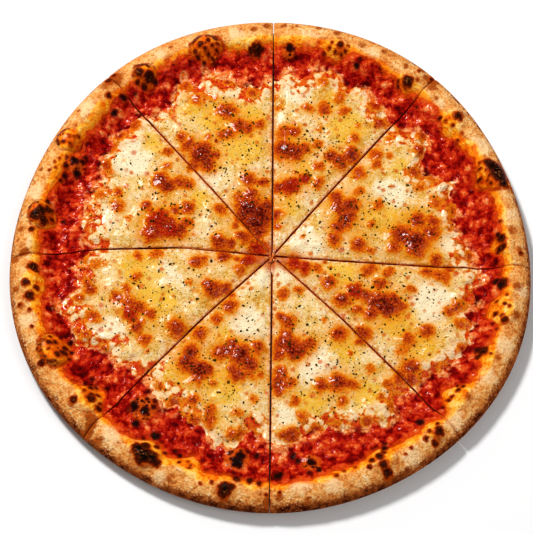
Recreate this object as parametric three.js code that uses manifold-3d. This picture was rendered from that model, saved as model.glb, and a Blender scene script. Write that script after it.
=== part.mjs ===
// A margherita pizza, baked whole and then cut into eight slices with a wheel.
// Each slice is three solids laid one on the other: dough with its raised rim, tomato sauce, melted cheese.
// Millimetres, +Z up. The origin is under the middle of the whole, on the plane that it rests on.
import * as THREE from "three";
import { mergeVertices } from "three/addons/utils/BufferGeometryUtils.js";
import Module from "manifold-3d";

const wasm = await Module();
wasm.setup();

// ---- Driving dimensions

const PIZZA_RADIUS = 165;
const OUTLINE_WAVES = [ // stretched by hand, so it isn't quite round; a wave is highest at its peak
  { lobes: 2, height: 1.1, peak: 95 },
  { lobes: 3, height: 1.6, peak: 87 },
  { lobes: 5, height: 0.8, peak: 52 },
];

const BASE_THICKNESS = 4.5;
const RIM_HEIGHT = 19;
const RIM_CREST_WAVES = [
  { lobes: 2, height: 0.9, peak: -17 },
  { lobes: 5, height: 0.7, peak: -5 },
];
const RIM_SIDE_HEIGHT = 8; // where the rim is widest
const RIM_ROUND = 12; // from the edge in to the crest
const RIM_FALL = 18; // from the crest in to the flat base
const RIM_BLEND = { rise: 4, inset: 3 }; // bubbles and cuts fade out so low on the rim, so near its side

const SAUCE_UNDER_CHEESE = 1.5;
const SAUCE_IN_RING = 2.6;
const SAUCE_RING = { starts: 108, full: 122 }; // over which it thickens, where the cheese ends
const SAUCE_EDGE = 147; // how far out the sauce reaches between bubbles
const SAUCE_EDGE_WAVES = [
  { lobes: 7, height: 1.2, peak: 13 },
  { lobes: 17, height: 0.8, peak: 2 },
];
const SAUCE_EDGE_THIN = { share: 0.45, width: 5 };
const SAUCE_LUMP = 0.55;
const SAUCE_LUMP_SCALE = 1.3; // how much finer its lumps are than the cheese's ripples

const CHEESE_THICKNESS = 2.7;
const CHEESE_EDGE_THIN = { share: 0.4, width: 7 };
const CHEESE_RIPPLE = 0.35;
const CHEESE_LEAST = 0.8; // where the wheel pressed it thinnest

const LAYER_GAP = 0.3;
const SAUCE_SINK = 2.25; // how far a layer is first made into what it lies on
const CHEESE_SINK = 0.75;
const CUT_WIDTH = 1.0;
const SAUCE_INSET = 0.1; // how far a layer stays behind the dough's cut face
const CHEESE_INSET = 0.2;
const CUT_DIP = 1.8; // how far the wheel pressed the top down beside a cut
const CUT_DIP_REACH = 8;
const HUB = { x: 1, y: 3.5 }; // where the cuts meet
const TIP_RADIUS = 3;

// Each cut runs from the hub to the rim at this angle. Its bow is how far it strays anticlockwise.
const CUTS = [
  { angle: -2.5, bow: -0.5 },
  { angle: 49.6, bow: 1 },
  { angle: 89.3, bow: 0 },
  { angle: 129.8, bow: -1 },
  { angle: 180, bow: -7 },
  { angle: 225.7, bow: -2.5 },
  { angle: 269.7, bow: 0 },
  { angle: 314.6, bow: 2.5 },
];
const BOW_RADII = [55, 110]; // a cut is straight between the hub, these two radii and the edge

// Bubbles in the rim: angle, distance from the middle, radius and rise. The sauce stops at their feet.
const BUBBLES = [
  { angle: 3, at: 147, radius: 7, rise: 1.8 },
  { angle: 21.5, at: 151, radius: 10, rise: 3.2 },
  { angle: 38.5, at: 150, radius: 9, rise: 2.4 },
  { angle: 54, at: 149, radius: 7, rise: 2 },
  { angle: 73.5, at: 151, radius: 8, rise: 2.4 },
  { angle: 94, at: 147, radius: 6, rise: 2 },
  { angle: 106, at: 151, radius: 10, rise: 3.6 },
  { angle: 123, at: 149, radius: 8, rise: 2.8 },
  { angle: 148.5, at: 152, radius: 8, rise: 2.4 },
  { angle: 169, at: 148, radius: 9, rise: 2.6 },
  { angle: 187, at: 151, radius: 9, rise: 1.8 },
  { angle: 205, at: 148, radius: 11, rise: 3.2 },
  { angle: 219.5, at: 145, radius: 11, rise: 3.4 },
  { angle: 239.5, at: 150, radius: 10, rise: 3 },
  { angle: 250, at: 146, radius: 8, rise: 2 },
  { angle: 260, at: 154, radius: 8, rise: 2 },
  { angle: 297, at: 150, radius: 9, rise: 3 },
  { angle: 310.5, at: 153, radius: 8, rise: 1.6 },
  { angle: 321, at: 147, radius: 10, rise: 2.8 },
  { angle: 334, at: 147, radius: 6, rise: 1.8 },
  { angle: 346, at: 149, radius: 10, rise: 3.2 },
];

// Creases between bubbles of the rim, down which the sauce runs.
const CREASES = [
  { angle: 14.5, at: 145, radius: 6, rise: -3 },
  { angle: 101, at: 146, radius: 5, rise: -2 },
  { angle: 211, at: 146, radius: 6, rise: -3 },
];

// Bubbles under the sauce, which lift it.
const SAUCE_BUBBLES = [
  { angle: 85.5, at: 145, radius: 6, rise: 1.6 },
  { angle: 153, at: 140, radius: 8, rise: 2.6 },
  { angle: 231.5, at: 126, radius: 11, rise: 2.6 },
  { angle: 261, at: 133, radius: 10, rise: 2.8 },
  { angle: 280.5, at: 136, radius: 8, rise: 1.6 },
];
const BUBBLE_FOOT = 1.35; // a bubble's rise dies out at this many radii

// The cheese's ragged outer edge: angle and distance from the middle.
const CHEESE_EDGE = [
  [2, 128], [12, 118], [24, 127], [34, 115], [41, 131], [49, 121], [57, 127], [66, 130],
  [74, 135], [84, 127], [95, 119], [108, 132], [117, 131], [125, 120], [133, 129], [144, 130],
  [155, 120], [165, 126], [176, 115], [184, 122], [196, 131], [203, 132], [212, 118], [219, 111],
  [230, 111], [239, 114], [248, 121], [257, 124], [265, 117], [273, 121], [286, 118], [297, 124],
  [305, 129], [311, 118], [319, 126], [329, 132], [335, 137], [344, 126], [354, 132],
];

// The largest browned blisters on the cheese: place, radius and rise.
const BLISTERS = [
  [92, 15, 12, 1.8], [47, 34, 9, 1.5], [71, 73, 6, 1.2],
  [12, 80, 10, 1.7], [12, 53, 9, 1.4], [44, 69, 7, 1.4],
  [-43, 74, 10, 1.7], [-13, 33, 11, 1.8], [-23, 100, 8, 1.3],
  [-68, 24, 14, 1.8], [-67, 54, 10, 1.5], [-32, 16, 7, 1.3],
  [-90, -32, 11, 1.4], [-36, -19, 8, 1.5], [-58, -46, 6, 1.2],
  [-50, -64, 11, 1.7], [-19, -65, 12, 1.6], [-32, -28, 5, 1.2],
  [13, -58, 10, 1.6], [13, -82, 9, 1.4], [40, -83, 9, 1.5],
  [71, -30, 13, 1.8], [97, -49, 6, 1.2], [47, -27, 6, 1.3],
];
const BLISTER_SIDES = 8;
const BLISTER_SINK = 0.6; // how deep its foot sits in the cheese
const BLISTER_BENDS = [[0.8, 0.45], [0.42, 0.9]]; // shares of its radius and of its rise

const FLAKES_PER_SLICE = 6; // the largest of the dried herb
const FLAKE_ROOM = { from: 38, to: 104, aside: 0.2 }; // radii, and the share left free at each cut
const FLAKE = { length: 2.6, width: 1.6, thickness: 1.3 };
const FLAKE_SEED = 7;

// ---- Mesh density

const COLUMNS = 12; // across a slice, closest together beside the cuts
const DOUGH_RIM_ROWS = [128, 134, 139, 144, 149, 153, 157, 161, 163.8];
const DOUGH_TOP_ROWS = [TIP_RADIUS, ...BOW_RADII, ...DOUGH_RIM_ROWS, PIZZA_RADIUS];
const DOUGH_UNDER_ROWS = [TIP_RADIUS, ...BOW_RADII, 153, 159, 163, PIZZA_RADIUS];
const LAYER_ROWS = [TIP_RADIUS, ...BOW_RADII];
const SAUCE_RING_ROWS = [0.28, 0.5, 0.7, 0.87, 1]; // shares of the way from the last bow radius to its edge
const CHEESE_ROWS = [TIP_RADIUS, 28, BOW_RADII[0], 73, 92, BOW_RADII[1]];
const CHEESE_RIM_ROWS = [0.55, 0.87, 1];

// ---- Small helpers

const { degToRad, radToDeg, lerp, clamp, smoothstep } = THREE.MathUtils;

// A number from 1 in the middle to 0 at the edge, level at both.
function bump(distance, reach) {
  const t = clamp(distance / reach, 0, 1);
  return (1 - t * t) ** 2;
}

function quarterRound(t) {
  return Math.sqrt(1 - (1 - clamp(t, 0, 1)) ** 2);
}

function placeOf(bubble) {
  const a = degToRad(bubble.angle);
  return { x: bubble.at * Math.cos(a), y: bubble.at * Math.sin(a) };
}

function liftOf(bubbles, x, y) {
  return bubbles.reduce((sum, bubble) => {
    const centre = placeOf(bubble);
    return sum + bubble.rise * bump(Math.hypot(x - centre.x, y - centre.y), bubble.radius * BUBBLE_FOOT);
  }, 0);
}

// The sum of waves round the pizza, each highest at its peak angle.
function wavesAt(waves, angle) {
  const heightOf = ({ lobes, height, peak }) => height * Math.cos(lobes * (angle - degToRad(peak)));
  return waves.reduce((sum, wave) => sum + heightOf(wave), 0);
}

// Ripples that never repeat inside the pizza, from -1 to 1.
function ripple(x, y) {
  const wide = Math.sin(x * 0.41 + 2 * Math.sin(y * 0.13));
  return 0.55 * wide + 0.45 * Math.sin(y * 0.53 - 1.7 * Math.sin(x * 0.17));
}

function seededRandom(seed) {
  let state = seed;
  return () => {
    state = (state * 16807) % 2147483647;
    return state / 2147483647;
  };
}

// ---- Plan: where a point of a slice lies

// Sideways stray of a cut: none at the hub and the edge, and its whole bow between the two radii.
function strayOf(cut, r) {
  const [inner, outer] = BOW_RADII;
  return cut.bow * Math.min(1, r / inner, (PIZZA_RADIUS - r) / (PIZZA_RADIUS - outer));
}

// A point beside a cut, this far to its anticlockwise side, as an angle and a radius.
function besideCut(cut, r, aside) {
  const a = degToRad(cut.angle);
  const fade = 1 - r / PIZZA_RADIUS;
  const across = strayOf(cut, r) + aside;
  const x = HUB.x * fade + r * Math.cos(a) - across * Math.sin(a);
  const y = HUB.y * fade + r * Math.sin(a) + across * Math.cos(a);
  return { angle: Math.atan2(y, x), radius: Math.hypot(x, y) };
}

// u runs from 0 at the slice's first cut to 1 at its second, anticlockwise.
function planPoint(slice, u, r, inset) {
  const aside = CUT_WIDTH / 2 + inset;
  const from = besideCut(CUTS[slice], r, aside);
  const to = besideCut(CUTS[(slice + 1) % CUTS.length], r, -aside);
  const turn = (to.angle - from.angle + 2 * Math.PI) % (2 * Math.PI);
  const share = r <= TIP_RADIUS ? 0.5 : u; // all columns meet at the tip
  const angle = from.angle + turn * share;
  const stretch = wavesAt(OUTLINE_WAVES, angle) * (r / PIZZA_RADIUS) ** 3;
  const radius = lerp(from.radius, to.radius, share) + stretch;
  const toCut = Math.min(share, 1 - share) * turn * r;
  return { x: radius * Math.cos(angle), y: radius * Math.sin(angle), angle, r, toCut };
}

// ---- Heights: each takes a point of the plan

function pressedAt(p) {
  return CUT_DIP * bump(p.toCut, CUT_DIP_REACH);
}

function doughTop(p) {
  const inset = PIZZA_RADIUS - p.r;
  const crest = RIM_HEIGHT + wavesAt(RIM_CREST_WAVES, p.angle);
  const outside = lerp(RIM_SIDE_HEIGHT, crest, quarterRound(inset / RIM_ROUND));
  const inside = lerp(crest, BASE_THICKNESS, smoothstep(inset, RIM_ROUND, RIM_ROUND + RIM_FALL));
  const raised = inset < RIM_ROUND ? outside : inside;
  const above = clamp((raised - BASE_THICKNESS) / RIM_BLEND.rise, 0, 1);
  const onRim = above * clamp(inset / RIM_BLEND.inset, 0, 1);
  const lift = liftOf(BUBBLES, p.x, p.y) + liftOf(CREASES, p.x, p.y);
  return raised + onRim * (lift - pressedAt(p));
}

function doughUnder(p) {
  const inset = PIZZA_RADIUS - p.r;
  return RIM_SIDE_HEIGHT * (1 - quarterRound(inset / RIM_ROUND));
}

// The sauce reaches its own edge, or the foot of a bubble that stands before it.
function sauceEdge(angle) {
  const free = SAUCE_EDGE + wavesAt(SAUCE_EDGE_WAVES, angle);
  const pushes = BUBBLES.map((bubble) => {
    const along = 2 * bubble.at * Math.abs(Math.sin((angle - degToRad(bubble.angle)) / 2));
    return (free - bubble.at + bubble.radius) * bump(along, bubble.radius * BUBBLE_FOOT);
  });
  return free - Math.max(0, ...pushes);
}

function sauceTop(p) {
  const open = smoothstep(p.r, SAUCE_RING.starts, SAUCE_RING.full);
  const toEdge = clamp((sauceEdge(p.angle) - p.r) / SAUCE_EDGE_THIN.width, 0, 1);
  const full = lerp(SAUCE_UNDER_CHEESE, SAUCE_IN_RING, open);
  const thickness = full * lerp(SAUCE_EDGE_THIN.share, 1, quarterRound(toEdge));
  const lumps = SAUCE_LUMP * ripple(p.x * SAUCE_LUMP_SCALE, p.y * SAUCE_LUMP_SCALE) * toEdge;
  return doughTop(p) + LAYER_GAP + thickness + open * (lumps + liftOf(SAUCE_BUBBLES, p.x, p.y));
}

function cheeseEdge(angle) {
  const degrees = (radToDeg(angle) + 720) % 360;
  const last = CHEESE_EDGE.length - 1;
  const after = CHEESE_EDGE.findIndex(([a]) => a > degrees);
  const [a1, r1] = after === 0 ? CHEESE_EDGE[last] : CHEESE_EDGE.at(after - 1);
  const [a2, r2] = after === -1 ? CHEESE_EDGE[0] : CHEESE_EDGE[after];
  const span = (a2 - a1 + 360) % 360;
  return lerp(r1, r2, smoothstep((degrees - a1 + 360) % 360, 0, span));
}

function cheeseTop(p) {
  const toEdge = (cheeseEdge(p.angle) - p.r) / CHEESE_EDGE_THIN.width;
  const rippled = CHEESE_THICKNESS + CHEESE_RIPPLE * ripple(p.x, p.y);
  const thickness = rippled * lerp(CHEESE_EDGE_THIN.share, 1, quarterRound(toEdge));
  return sauceTop(p) + LAYER_GAP + thickness - Math.min(pressedAt(p), thickness - CHEESE_LEAST);
}

// ---- Solids

// Shares across a slice, closer together beside its cuts.
function columnShare(column) {
  const t = column / COLUMNS;
  return lerp(t, 0.5 - 0.5 * Math.cos(Math.PI * t), 0.5);
}

// A closed mesh between two surfaces of a slice. A row is a radius, or gives its radius for an angle.
// The rows of both surfaces start at the tip and end at the same radius.
function sliceSolid(slice, inset, top, under) {
  const positions = [];
  const faces = [];
  const grid = (surface) =>
    surface.rows.map((row) =>
      Array.from({ length: COLUMNS + 1 }, (_, column) => {
        const u = columnShare(column);
        const guess = planPoint(slice, u, SAUCE_EDGE, inset);
        const p = planPoint(slice, u, typeof row === "function" ? row(guess.angle) : row, inset);
        positions.push(p.x, p.y, surface.height(p));
        return { index: positions.length / 3 - 1, r: p.r };
      }),
    );
  const upper = grid(top);
  const lower = grid(under);
  const quad = (a, b, c, d) => faces.push(a.index, b.index, c.index, a.index, c.index, d.index);
  for (let column = 0; column < COLUMNS; column++) {
    for (let row = 0; row + 1 < upper.length; row++)
      quad(upper[row][column], upper[row + 1][column], upper[row + 1][column + 1], upper[row][column + 1]);
    for (let row = 0; row + 1 < lower.length; row++)
      quad(lower[row][column], lower[row][column + 1], lower[row + 1][column + 1], lower[row + 1][column]);
    const ends = [upper.at(-1), lower.at(-1)];
    quad(ends[0][column], ends[1][column], ends[1][column + 1], ends[0][column + 1]);
  }
  // Each cut face is a strip between the top line and the lower line.
  for (const [column, flip] of [[0, false], [COLUMNS, true]]) {
    let i = 0;
    let j = 0;
    while (i + 1 < upper.length || j + 1 < lower.length) {
      const nextUpper = upper[i + 1]?.[column].r ?? Infinity;
      const nextLower = lower[j + 1]?.[column].r ?? Infinity;
      const stepUpper = nextUpper <= nextLower;
      const [a, b] = [upper[i][column].index, lower[j][column].index];
      const c = stepUpper ? upper[++i][column].index : lower[++j][column].index;
      faces.push(...(flip ? [a, c, b] : [a, b, c]));
    }
  }
  const geometry = new THREE.BufferGeometry();
  geometry.setAttribute("position", new THREE.Float32BufferAttribute(positions, 3));
  geometry.setIndex(faces);
  return toSolid(geometry);
}

// A three.js geometry as a manifold-3d solid, with the triangles that collapse at a tip left out.
function toSolid(geometry) {
  const bare = geometry.clone();
  bare.deleteAttribute("normal");
  bare.deleteAttribute("uv");
  const merged = mergeVertices(bare, 1e-3);
  const index = merged.index.array;
  const kept = [];
  for (let i = 0; i < index.length; i += 3) {
    const [a, b, c] = index.subarray(i, i + 3);
    if (a !== b && b !== c && a !== c) kept.push(a, b, c);
  }
  const mesh = new wasm.Mesh({
    numProp: 3,
    vertProperties: merged.attributes.position.array,
    triVerts: new Uint32Array(kept),
  });
  return new wasm.Manifold(mesh);
}

function toGeometry(solid) {
  const { vertProperties, triVerts } = solid.getMesh();
  const geometry = new THREE.BufferGeometry();
  geometry.setAttribute("position", new THREE.BufferAttribute(vertProperties, 3));
  geometry.setIndex(new THREE.BufferAttribute(triVerts, 1));
  geometry.computeVertexNormals();
  return geometry;
}

function biggestPiece(solid) {
  return solid.decompose().reduce((best, piece) => (piece.volume() > best.volume() ? piece : best));
}

function doughSlice(slice) {
  return sliceSolid(
    slice,
    0,
    { rows: DOUGH_TOP_ROWS, height: doughTop },
    { rows: DOUGH_UNDER_ROWS, height: doughUnder },
  );
}

// A layer is first made deep enough to sink into what it lies on, which is then cut out of it.
function layerOn(support, slice, inset, rows, top, under) {
  const lower = { rows: [rows[0], ...BOW_RADII, rows.at(-1)], height: under };
  const deep = sliceSolid(slice, inset, { rows, height: top }, lower);
  return biggestPiece(deep.subtract(support.translate([0, 0, LAYER_GAP])));
}

function sauceSlice(slice, dough) {
  const ring = SAUCE_RING_ROWS.map((share) => (angle) => lerp(BOW_RADII[1], sauceEdge(angle), share));
  const insideDough = () => BASE_THICKNESS - SAUCE_SINK;
  return layerOn(dough, slice, SAUCE_INSET, [...LAYER_ROWS, ...ring], sauceTop, insideDough);
}

function cheeseSlice(slice, sauce) {
  const ring = CHEESE_RIM_ROWS.map((share) => (angle) => lerp(BOW_RADII[1], cheeseEdge(angle), share));
  const insideSauce = (p) => sauceTop(p) - CHEESE_SINK;
  const plain = layerOn(sauce, slice, CHEESE_INSET, [...CHEESE_ROWS, ...ring], cheeseTop, insideSauce);
  const rows = [...LAYER_ROWS, PIZZA_RADIUS];
  const lid = { rows, height: () => 2 * RIM_HEIGHT };
  const room = sliceSolid(slice, CHEESE_INSET, lid, { rows, height: () => 0 });
  const blisters = blistersOf(slice).map((blister) => blister.intersect(room));
  return [...blisters, ...flakesOf(slice)].reduce((solid, piece) => solid.add(piece), plain);
}

// ---- What is fused to the cheese

// The point of the slice's plan at a place on the pizza, or null where the slice doesn't reach.
function pointOfSlice(slice, x, y) {
  const r = Math.hypot(x, y);
  const [first, second] = [0, 1].map((u) => planPoint(slice, u, r, 0));
  const full = 2 * Math.PI;
  const turn = (second.angle - first.angle + full) % full;
  const share = ((Math.atan2(y, x) - first.angle + 2 * full) % full) / turn;
  return share < 1 ? planPoint(slice, share, r, 0) : null;
}

function blistersOf(slice) {
  return BLISTERS.flatMap(([x, y, radius, rise]) => {
    const p = pointOfSlice(slice, x, y);
    if (!p) return [];
    const bends = BLISTER_BENDS.map(([out, up]) => [radius * out, rise * up]);
    const outline = [[0, -BLISTER_SINK], [radius, -BLISTER_SINK], ...bends, [0, rise]];
    const points = outline.map(([out, up]) => new THREE.Vector2(out, up));
    const dome = new THREE.LatheGeometry(points, BLISTER_SIDES);
    dome.rotateX(Math.PI / 2);
    dome.translate(x, y, cheeseTop(p));
    return [toSolid(dome)];
  });
}

function flakesOf(slice) {
  const random = seededRandom(FLAKE_SEED + slice * 101);
  return Array.from({ length: FLAKES_PER_SLICE }, (_, k) => {
    const r = lerp(FLAKE_ROOM.from, FLAKE_ROOM.to, (k + random()) / FLAKES_PER_SLICE);
    const p = planPoint(slice, lerp(FLAKE_ROOM.aside, 1 - FLAKE_ROOM.aside, random()), r, 0);
    const flake = new THREE.OctahedronGeometry(0.5);
    flake.scale(FLAKE.length, FLAKE.width, FLAKE.thickness);
    flake.rotateZ(Math.PI * random());
    flake.translate(p.x, p.y, cheeseTop(p));
    return toSolid(flake);
  });
}

// ---- The pizza

const finishes = {
  dough: new THREE.MeshStandardMaterial({ name: "baked dough", color: 0xd9a066, roughness: 0.8 }),
  sauce: new THREE.MeshStandardMaterial({ name: "tomato sauce", color: 0xb32010, roughness: 0.35 }),
  cheese: new THREE.MeshStandardMaterial({ name: "melted cheese", color: 0xead9a0, roughness: 0.45 }),
};

function named(name, solid, finish) {
  const mesh = new THREE.Mesh(toGeometry(solid), finish);
  mesh.name = name;
  return mesh;
}

const pizza = new THREE.Group();
pizza.name = "pizza";
CUTS.forEach((_, slice) => {
  const dough = doughSlice(slice);
  const sauce = sauceSlice(slice, dough);
  const cheese = cheeseSlice(slice, sauce);
  const group = new THREE.Group();
  group.add(
    named(`dough_${slice + 1}`, dough, finishes.dough),
    named(`sauce_${slice + 1}`, sauce, finishes.sauce),
    named(`cheese_${slice + 1}`, cheese, finishes.cheese),
  );
  pizza.add(group);
});

// The plan was laid out round the middle of the dough ball, which isn't quite the middle of the outline.
const middle = new THREE.Box3().setFromObject(pizza).getCenter(new THREE.Vector3());
pizza.position.set(-middle.x, -middle.y, 0);

export default pizza;
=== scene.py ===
import math

import bpy
import numpy as np
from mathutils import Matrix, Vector


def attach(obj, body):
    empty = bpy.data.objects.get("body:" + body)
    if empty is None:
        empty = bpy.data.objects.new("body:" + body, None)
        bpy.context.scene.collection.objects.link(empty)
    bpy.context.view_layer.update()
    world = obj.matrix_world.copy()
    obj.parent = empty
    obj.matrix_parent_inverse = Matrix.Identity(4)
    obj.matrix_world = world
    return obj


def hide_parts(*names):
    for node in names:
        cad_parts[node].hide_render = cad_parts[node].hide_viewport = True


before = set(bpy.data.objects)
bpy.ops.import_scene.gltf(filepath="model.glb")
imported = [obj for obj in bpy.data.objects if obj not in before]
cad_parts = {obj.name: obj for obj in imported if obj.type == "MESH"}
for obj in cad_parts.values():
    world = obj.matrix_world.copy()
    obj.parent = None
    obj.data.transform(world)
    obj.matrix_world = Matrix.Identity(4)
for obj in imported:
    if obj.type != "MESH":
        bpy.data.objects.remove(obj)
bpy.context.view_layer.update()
print("frame loaded:", len(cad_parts), "solids to dress")

# All of the pizza is worked out in millimetres on its plan and goes to metres when a mesh is made.
millimetre = 0.001

# The plan: what the slices' solids are laid out by.
plan = dict(
    radius=164.7,  # just inside the solids' edge
    outlineWaves=((2, 1.1, 95), (3, 1.6, 87), (5, 0.8, 52)),  # lobes, height, angle of a peak
    hub=(1.0, 3.5),
    cutWidth=1.0,
    tips=dict(dough=0.35, sauce=1.3, cheese=2.1),
    setBack=dict(dough=-0.22, sauce=0.05, cheese=0.2),
    bowRadii=(55, 110),
    sink=0.9,  # how far sauce and cheese reach into what they lie on
    cuts=(  # angle, how far it bows aside
        (-2.5, -0.5), (49.6, 1), (89.3, 0), (129.8, -1), (180, -7), (225.7, -2.5), (269.7, 0),
        (314.6, 2.5),
    ),
)


def wavesAt(waves, angle):
    return sum(height * np.cos(lobes * (angle - math.radians(peak))) for lobes, height, peak in waves)


def besideCut(cut, r, aside):
    angle, bow = math.radians(cut[0]), cut[1]
    inner, outer = plan["bowRadii"]
    stray = bow * np.minimum(1, np.minimum(r / inner, (plan["radius"] - r) / (plan["radius"] - outer)))
    fade = 1 - r / plan["radius"]
    across = stray + aside
    x = plan["hub"][0] * fade + r * math.cos(angle) - across * math.sin(angle)
    y = plan["hub"][1] * fade + r * math.sin(angle) + across * math.cos(angle)
    return np.arctan2(y, x), np.hypot(x, y)


class Place:  # where points of a slice lie: share is 0 at its first cut and 1 at its second, anticlockwise
    def __init__(self, number, share, r, inset, tip=3.0):
        aside = plan["cutWidth"] / 2 + inset
        firstAngle, firstRadius = besideCut(plan["cuts"][number], r, aside)
        lastAngle, lastRadius = besideCut(plan["cuts"][(number + 1) % 8], r, -aside)
        turn = (lastAngle - firstAngle) % (2 * math.pi)
        share = np.where(r <= tip, 0.5, share)
        self.r = r
        self.angle = firstAngle + turn * share
        out = firstRadius + (lastRadius - firstRadius) * share
        out = out + wavesAt(plan["outlineWaves"], self.angle) * (r / plan["radius"]) ** 3
        self.x, self.y = out * np.cos(self.angle), out * np.sin(self.angle)
        self.toCut = np.minimum(share, 1 - share) * turn * r
        self.degrees = np.degrees(self.angle) % 360


def middleOfOutline():
    rim = [Place(k, np.linspace(0, 1, 200), np.full(200, plan["radius"]), 0) for k in range(8)]
    x, y = np.concatenate([p.x for p in rim]), np.concatenate([p.y for p in rim])
    return (x.min() + x.max()) / 2, (y.min() + y.max()) / 2


middle = middleOfOutline()  # the frame's origin is here, the plan's is where the dough was stretched from


# Small helpers for heights and masks.
def clamp(t, low=0.0, high=1.0):
    return np.minimum(np.maximum(t, low), high)


def mix(a, b, t):
    return a + (b - a) * t


def ease(t, low, high):
    t = clamp((t - low) / (high - low))
    return t * t * (3 - 2 * t)


def quarterRound(t):
    return np.sqrt(1 - (1 - clamp(t)) ** 2)


def bump(distance, reach):
    return (1 - clamp(distance / reach) ** 2) ** 2


def ringAt(distance, radius, reach):
    return bump(np.abs(distance - radius), reach)


class Grain:  # a seeded field that rolls smoothly from -1 to 1
    def __init__(self, seed):
        self.table = np.random.default_rng(seed).uniform(-1, 1, (256, 256))

    def at(self, x, y, size):
        gx, gy = x / size + 900.3, y / size + 700.7
        ix, iy = np.floor(gx).astype(int), np.floor(gy).astype(int)
        sx, sy = ease(gx - ix, 0, 1), ease(gy - iy, 0, 1)
        a, b = ix & 255, (ix + 1) & 255
        c, d = iy & 255, (iy + 1) & 255
        low = mix(self.table[a, c], self.table[b, c], sx)
        high = mix(self.table[a, d], self.table[b, d], sx)
        return mix(low, high, sy)


class Pebbles:  # a seeded field of rounded crumbs with creases between them, from 0 to 1
    def __init__(self, seed):
        random = np.random.default_rng(seed)
        self.shift = random.uniform(0.12, 0.88, (2, 256, 256))
        self.rise = random.uniform(0.35, 1.0, (256, 256))

    def at(self, x, y, size):
        gx, gy = x / size + 900.3, y / size + 700.7
        ix, iy = np.floor(gx).astype(int), np.floor(gy).astype(int)
        height = np.zeros_like(gx)
        for stepX in (-1, 0, 1):
            for stepY in (-1, 0, 1):
                a, b = (ix + stepX) & 255, (iy + stepY) & 255
                dx = gx - ix - stepX - self.shift[0][a, b]
                dy = gy - iy - stepY - self.shift[1][a, b]
                height = np.maximum(height, self.rise[a, b] * (1 - (dx * dx + dy * dy) * 1.1))
        return height


grains = [Grain(seed) for seed in range(6)]
pebbles = [Pebbles(seed) for seed in range(3)]


def roll(layers, x, y):  # some grains together, each as its number, height and size
    return sum(height * grains[number].at(x, y, size) for number, height, size in layers)


def polar(at, degrees):
    return at * math.cos(math.radians(degrees)), at * math.sin(math.radians(degrees))


def liftOf(bubbles, p):
    total = np.zeros_like(p.x)
    for degrees, at, size, rise in bubbles:
        x, y = polar(at, degrees)
        total += rise * bump(np.hypot(p.x - x, p.y - y), size * bubbleFoot)
    return total


def insideOf(spots, x, y):  # how deep a point is inside the nearest round spot, in mm
    depth = np.full_like(x, -9.0)
    for spotX, spotY, size in spots:
        depth = np.maximum(depth, size - np.hypot(x - spotX, y - spotY))
    return depth


# The dough: bubbles in the rim and creases between them are angle, distance out, radius, rise.
dough = dict(
    base=4.5,
    crest=19,
    crestWaves=((2, 0.9, -17), (5, 0.7, -5)),
    sideHeight=8,
    round=12,
    fall=18,
    blendRise=4,
    blendInset=3,
    cutDip=1.8,
    cutReach=8,
    cutRounding=(0.9, 1.8),  # how deep, how far in
    roughness=((0.34, 6, 1.3), (0.2, 2.6, 1.2)),  # height, size along the rim, how much finer across it
    sunk=0.55,  # so that the roughness stays inside the solid
    roughFrom=132,
    charRise=0.5,
    ceiling=(20, 2.5),  # heights past the first close in on the two together
    oilyTo=151.5,
    wallWidth=7,
    wallShadeByAngle=(0.55, 1.25, 285),  # how strongly the wall is browned at its palest and darkest, and the angle of the darkest; this change round the pizza is painted shade, darkest on the front away from the key light
    innerRows=(3, 8, 30, 60, 90, 110, 120, 128),
    underRows=(3, 8, 30, 60, 90, 120, 140),
    rowStep=0.65,
    columns=190,
    bubbles=(
        (3, 147, 7, 1.8), (21.5, 151, 10, 3.2), (38.5, 150, 9, 2.4), (54, 149, 7, 2),
        (73.5, 151, 8, 2.4), (94, 147, 6, 2), (106, 151, 10, 3.6), (123, 149, 8, 2.8),
        (148.5, 152, 8, 2.4), (169, 148, 9, 2.6), (187, 151, 9, 1.8), (205, 148, 11, 3.2),
        (219.5, 145, 11, 3.4), (239.5, 150, 10, 3), (250, 146, 8, 2), (260, 154, 8, 2),
        (297, 150, 9, 3), (310.5, 153, 8, 1.6), (321, 147, 10, 2.8), (334, 147, 6, 1.8),
        (346, 149, 10, 3.2),
    ),
    smallBubbles=(
        (65, 152, 5, 1.6), (82, 150, 5, 1.4), (134, 150, 6, 1.6), (140.5, 153, 6, 1.6),
        (161, 152, 5, 1.2), (177.5, 150, 5, 1.2), (195, 152, 6, 1.4), (228.5, 154, 6, 1.5),
        (267, 152, 5, 1.2), (276, 152, 7, 1.5), (287, 151, 6, 1.2), (304, 153, 5, 1.2),
        (30, 152, 5, 1.2), (11.5, 151, 5, 1.4), (338.5, 152, 5, 1.2),
    ),
    creases=((14.5, 145, 6, -3), (101, 146, 5, -2), (211, 146, 6, -3)),
    scorched=(21.5, 106, 123, 148.5, 169, 205),  # the bubbles whose outer side baked dark
)
bubbleFoot = 1.35


def pressedAt(p):
    return dough["cutDip"] * bump(p.toCut, dough["cutReach"])


def doughTop(p):
    inset = plan["radius"] - p.r
    crest = dough["crest"] + wavesAt(dough["crestWaves"], p.angle)
    outside = mix(dough["sideHeight"], crest, quarterRound(inset / dough["round"]))
    inside = mix(crest, dough["base"], ease(inset, dough["round"], dough["round"] + dough["fall"]))
    raised = np.where(inset < dough["round"], outside, inside)
    onRim = clamp((raised - dough["base"]) / dough["blendRise"]) * clamp(inset / dough["blendInset"])
    lift = liftOf(dough["bubbles"], p) + liftOf(dough["creases"], p)
    return raised + onRim * (lift - pressedAt(p))


def doughUnder(p):
    return dough["sideHeight"] * (1 - quarterRound((plan["radius"] - p.r) / dough["round"]))


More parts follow.
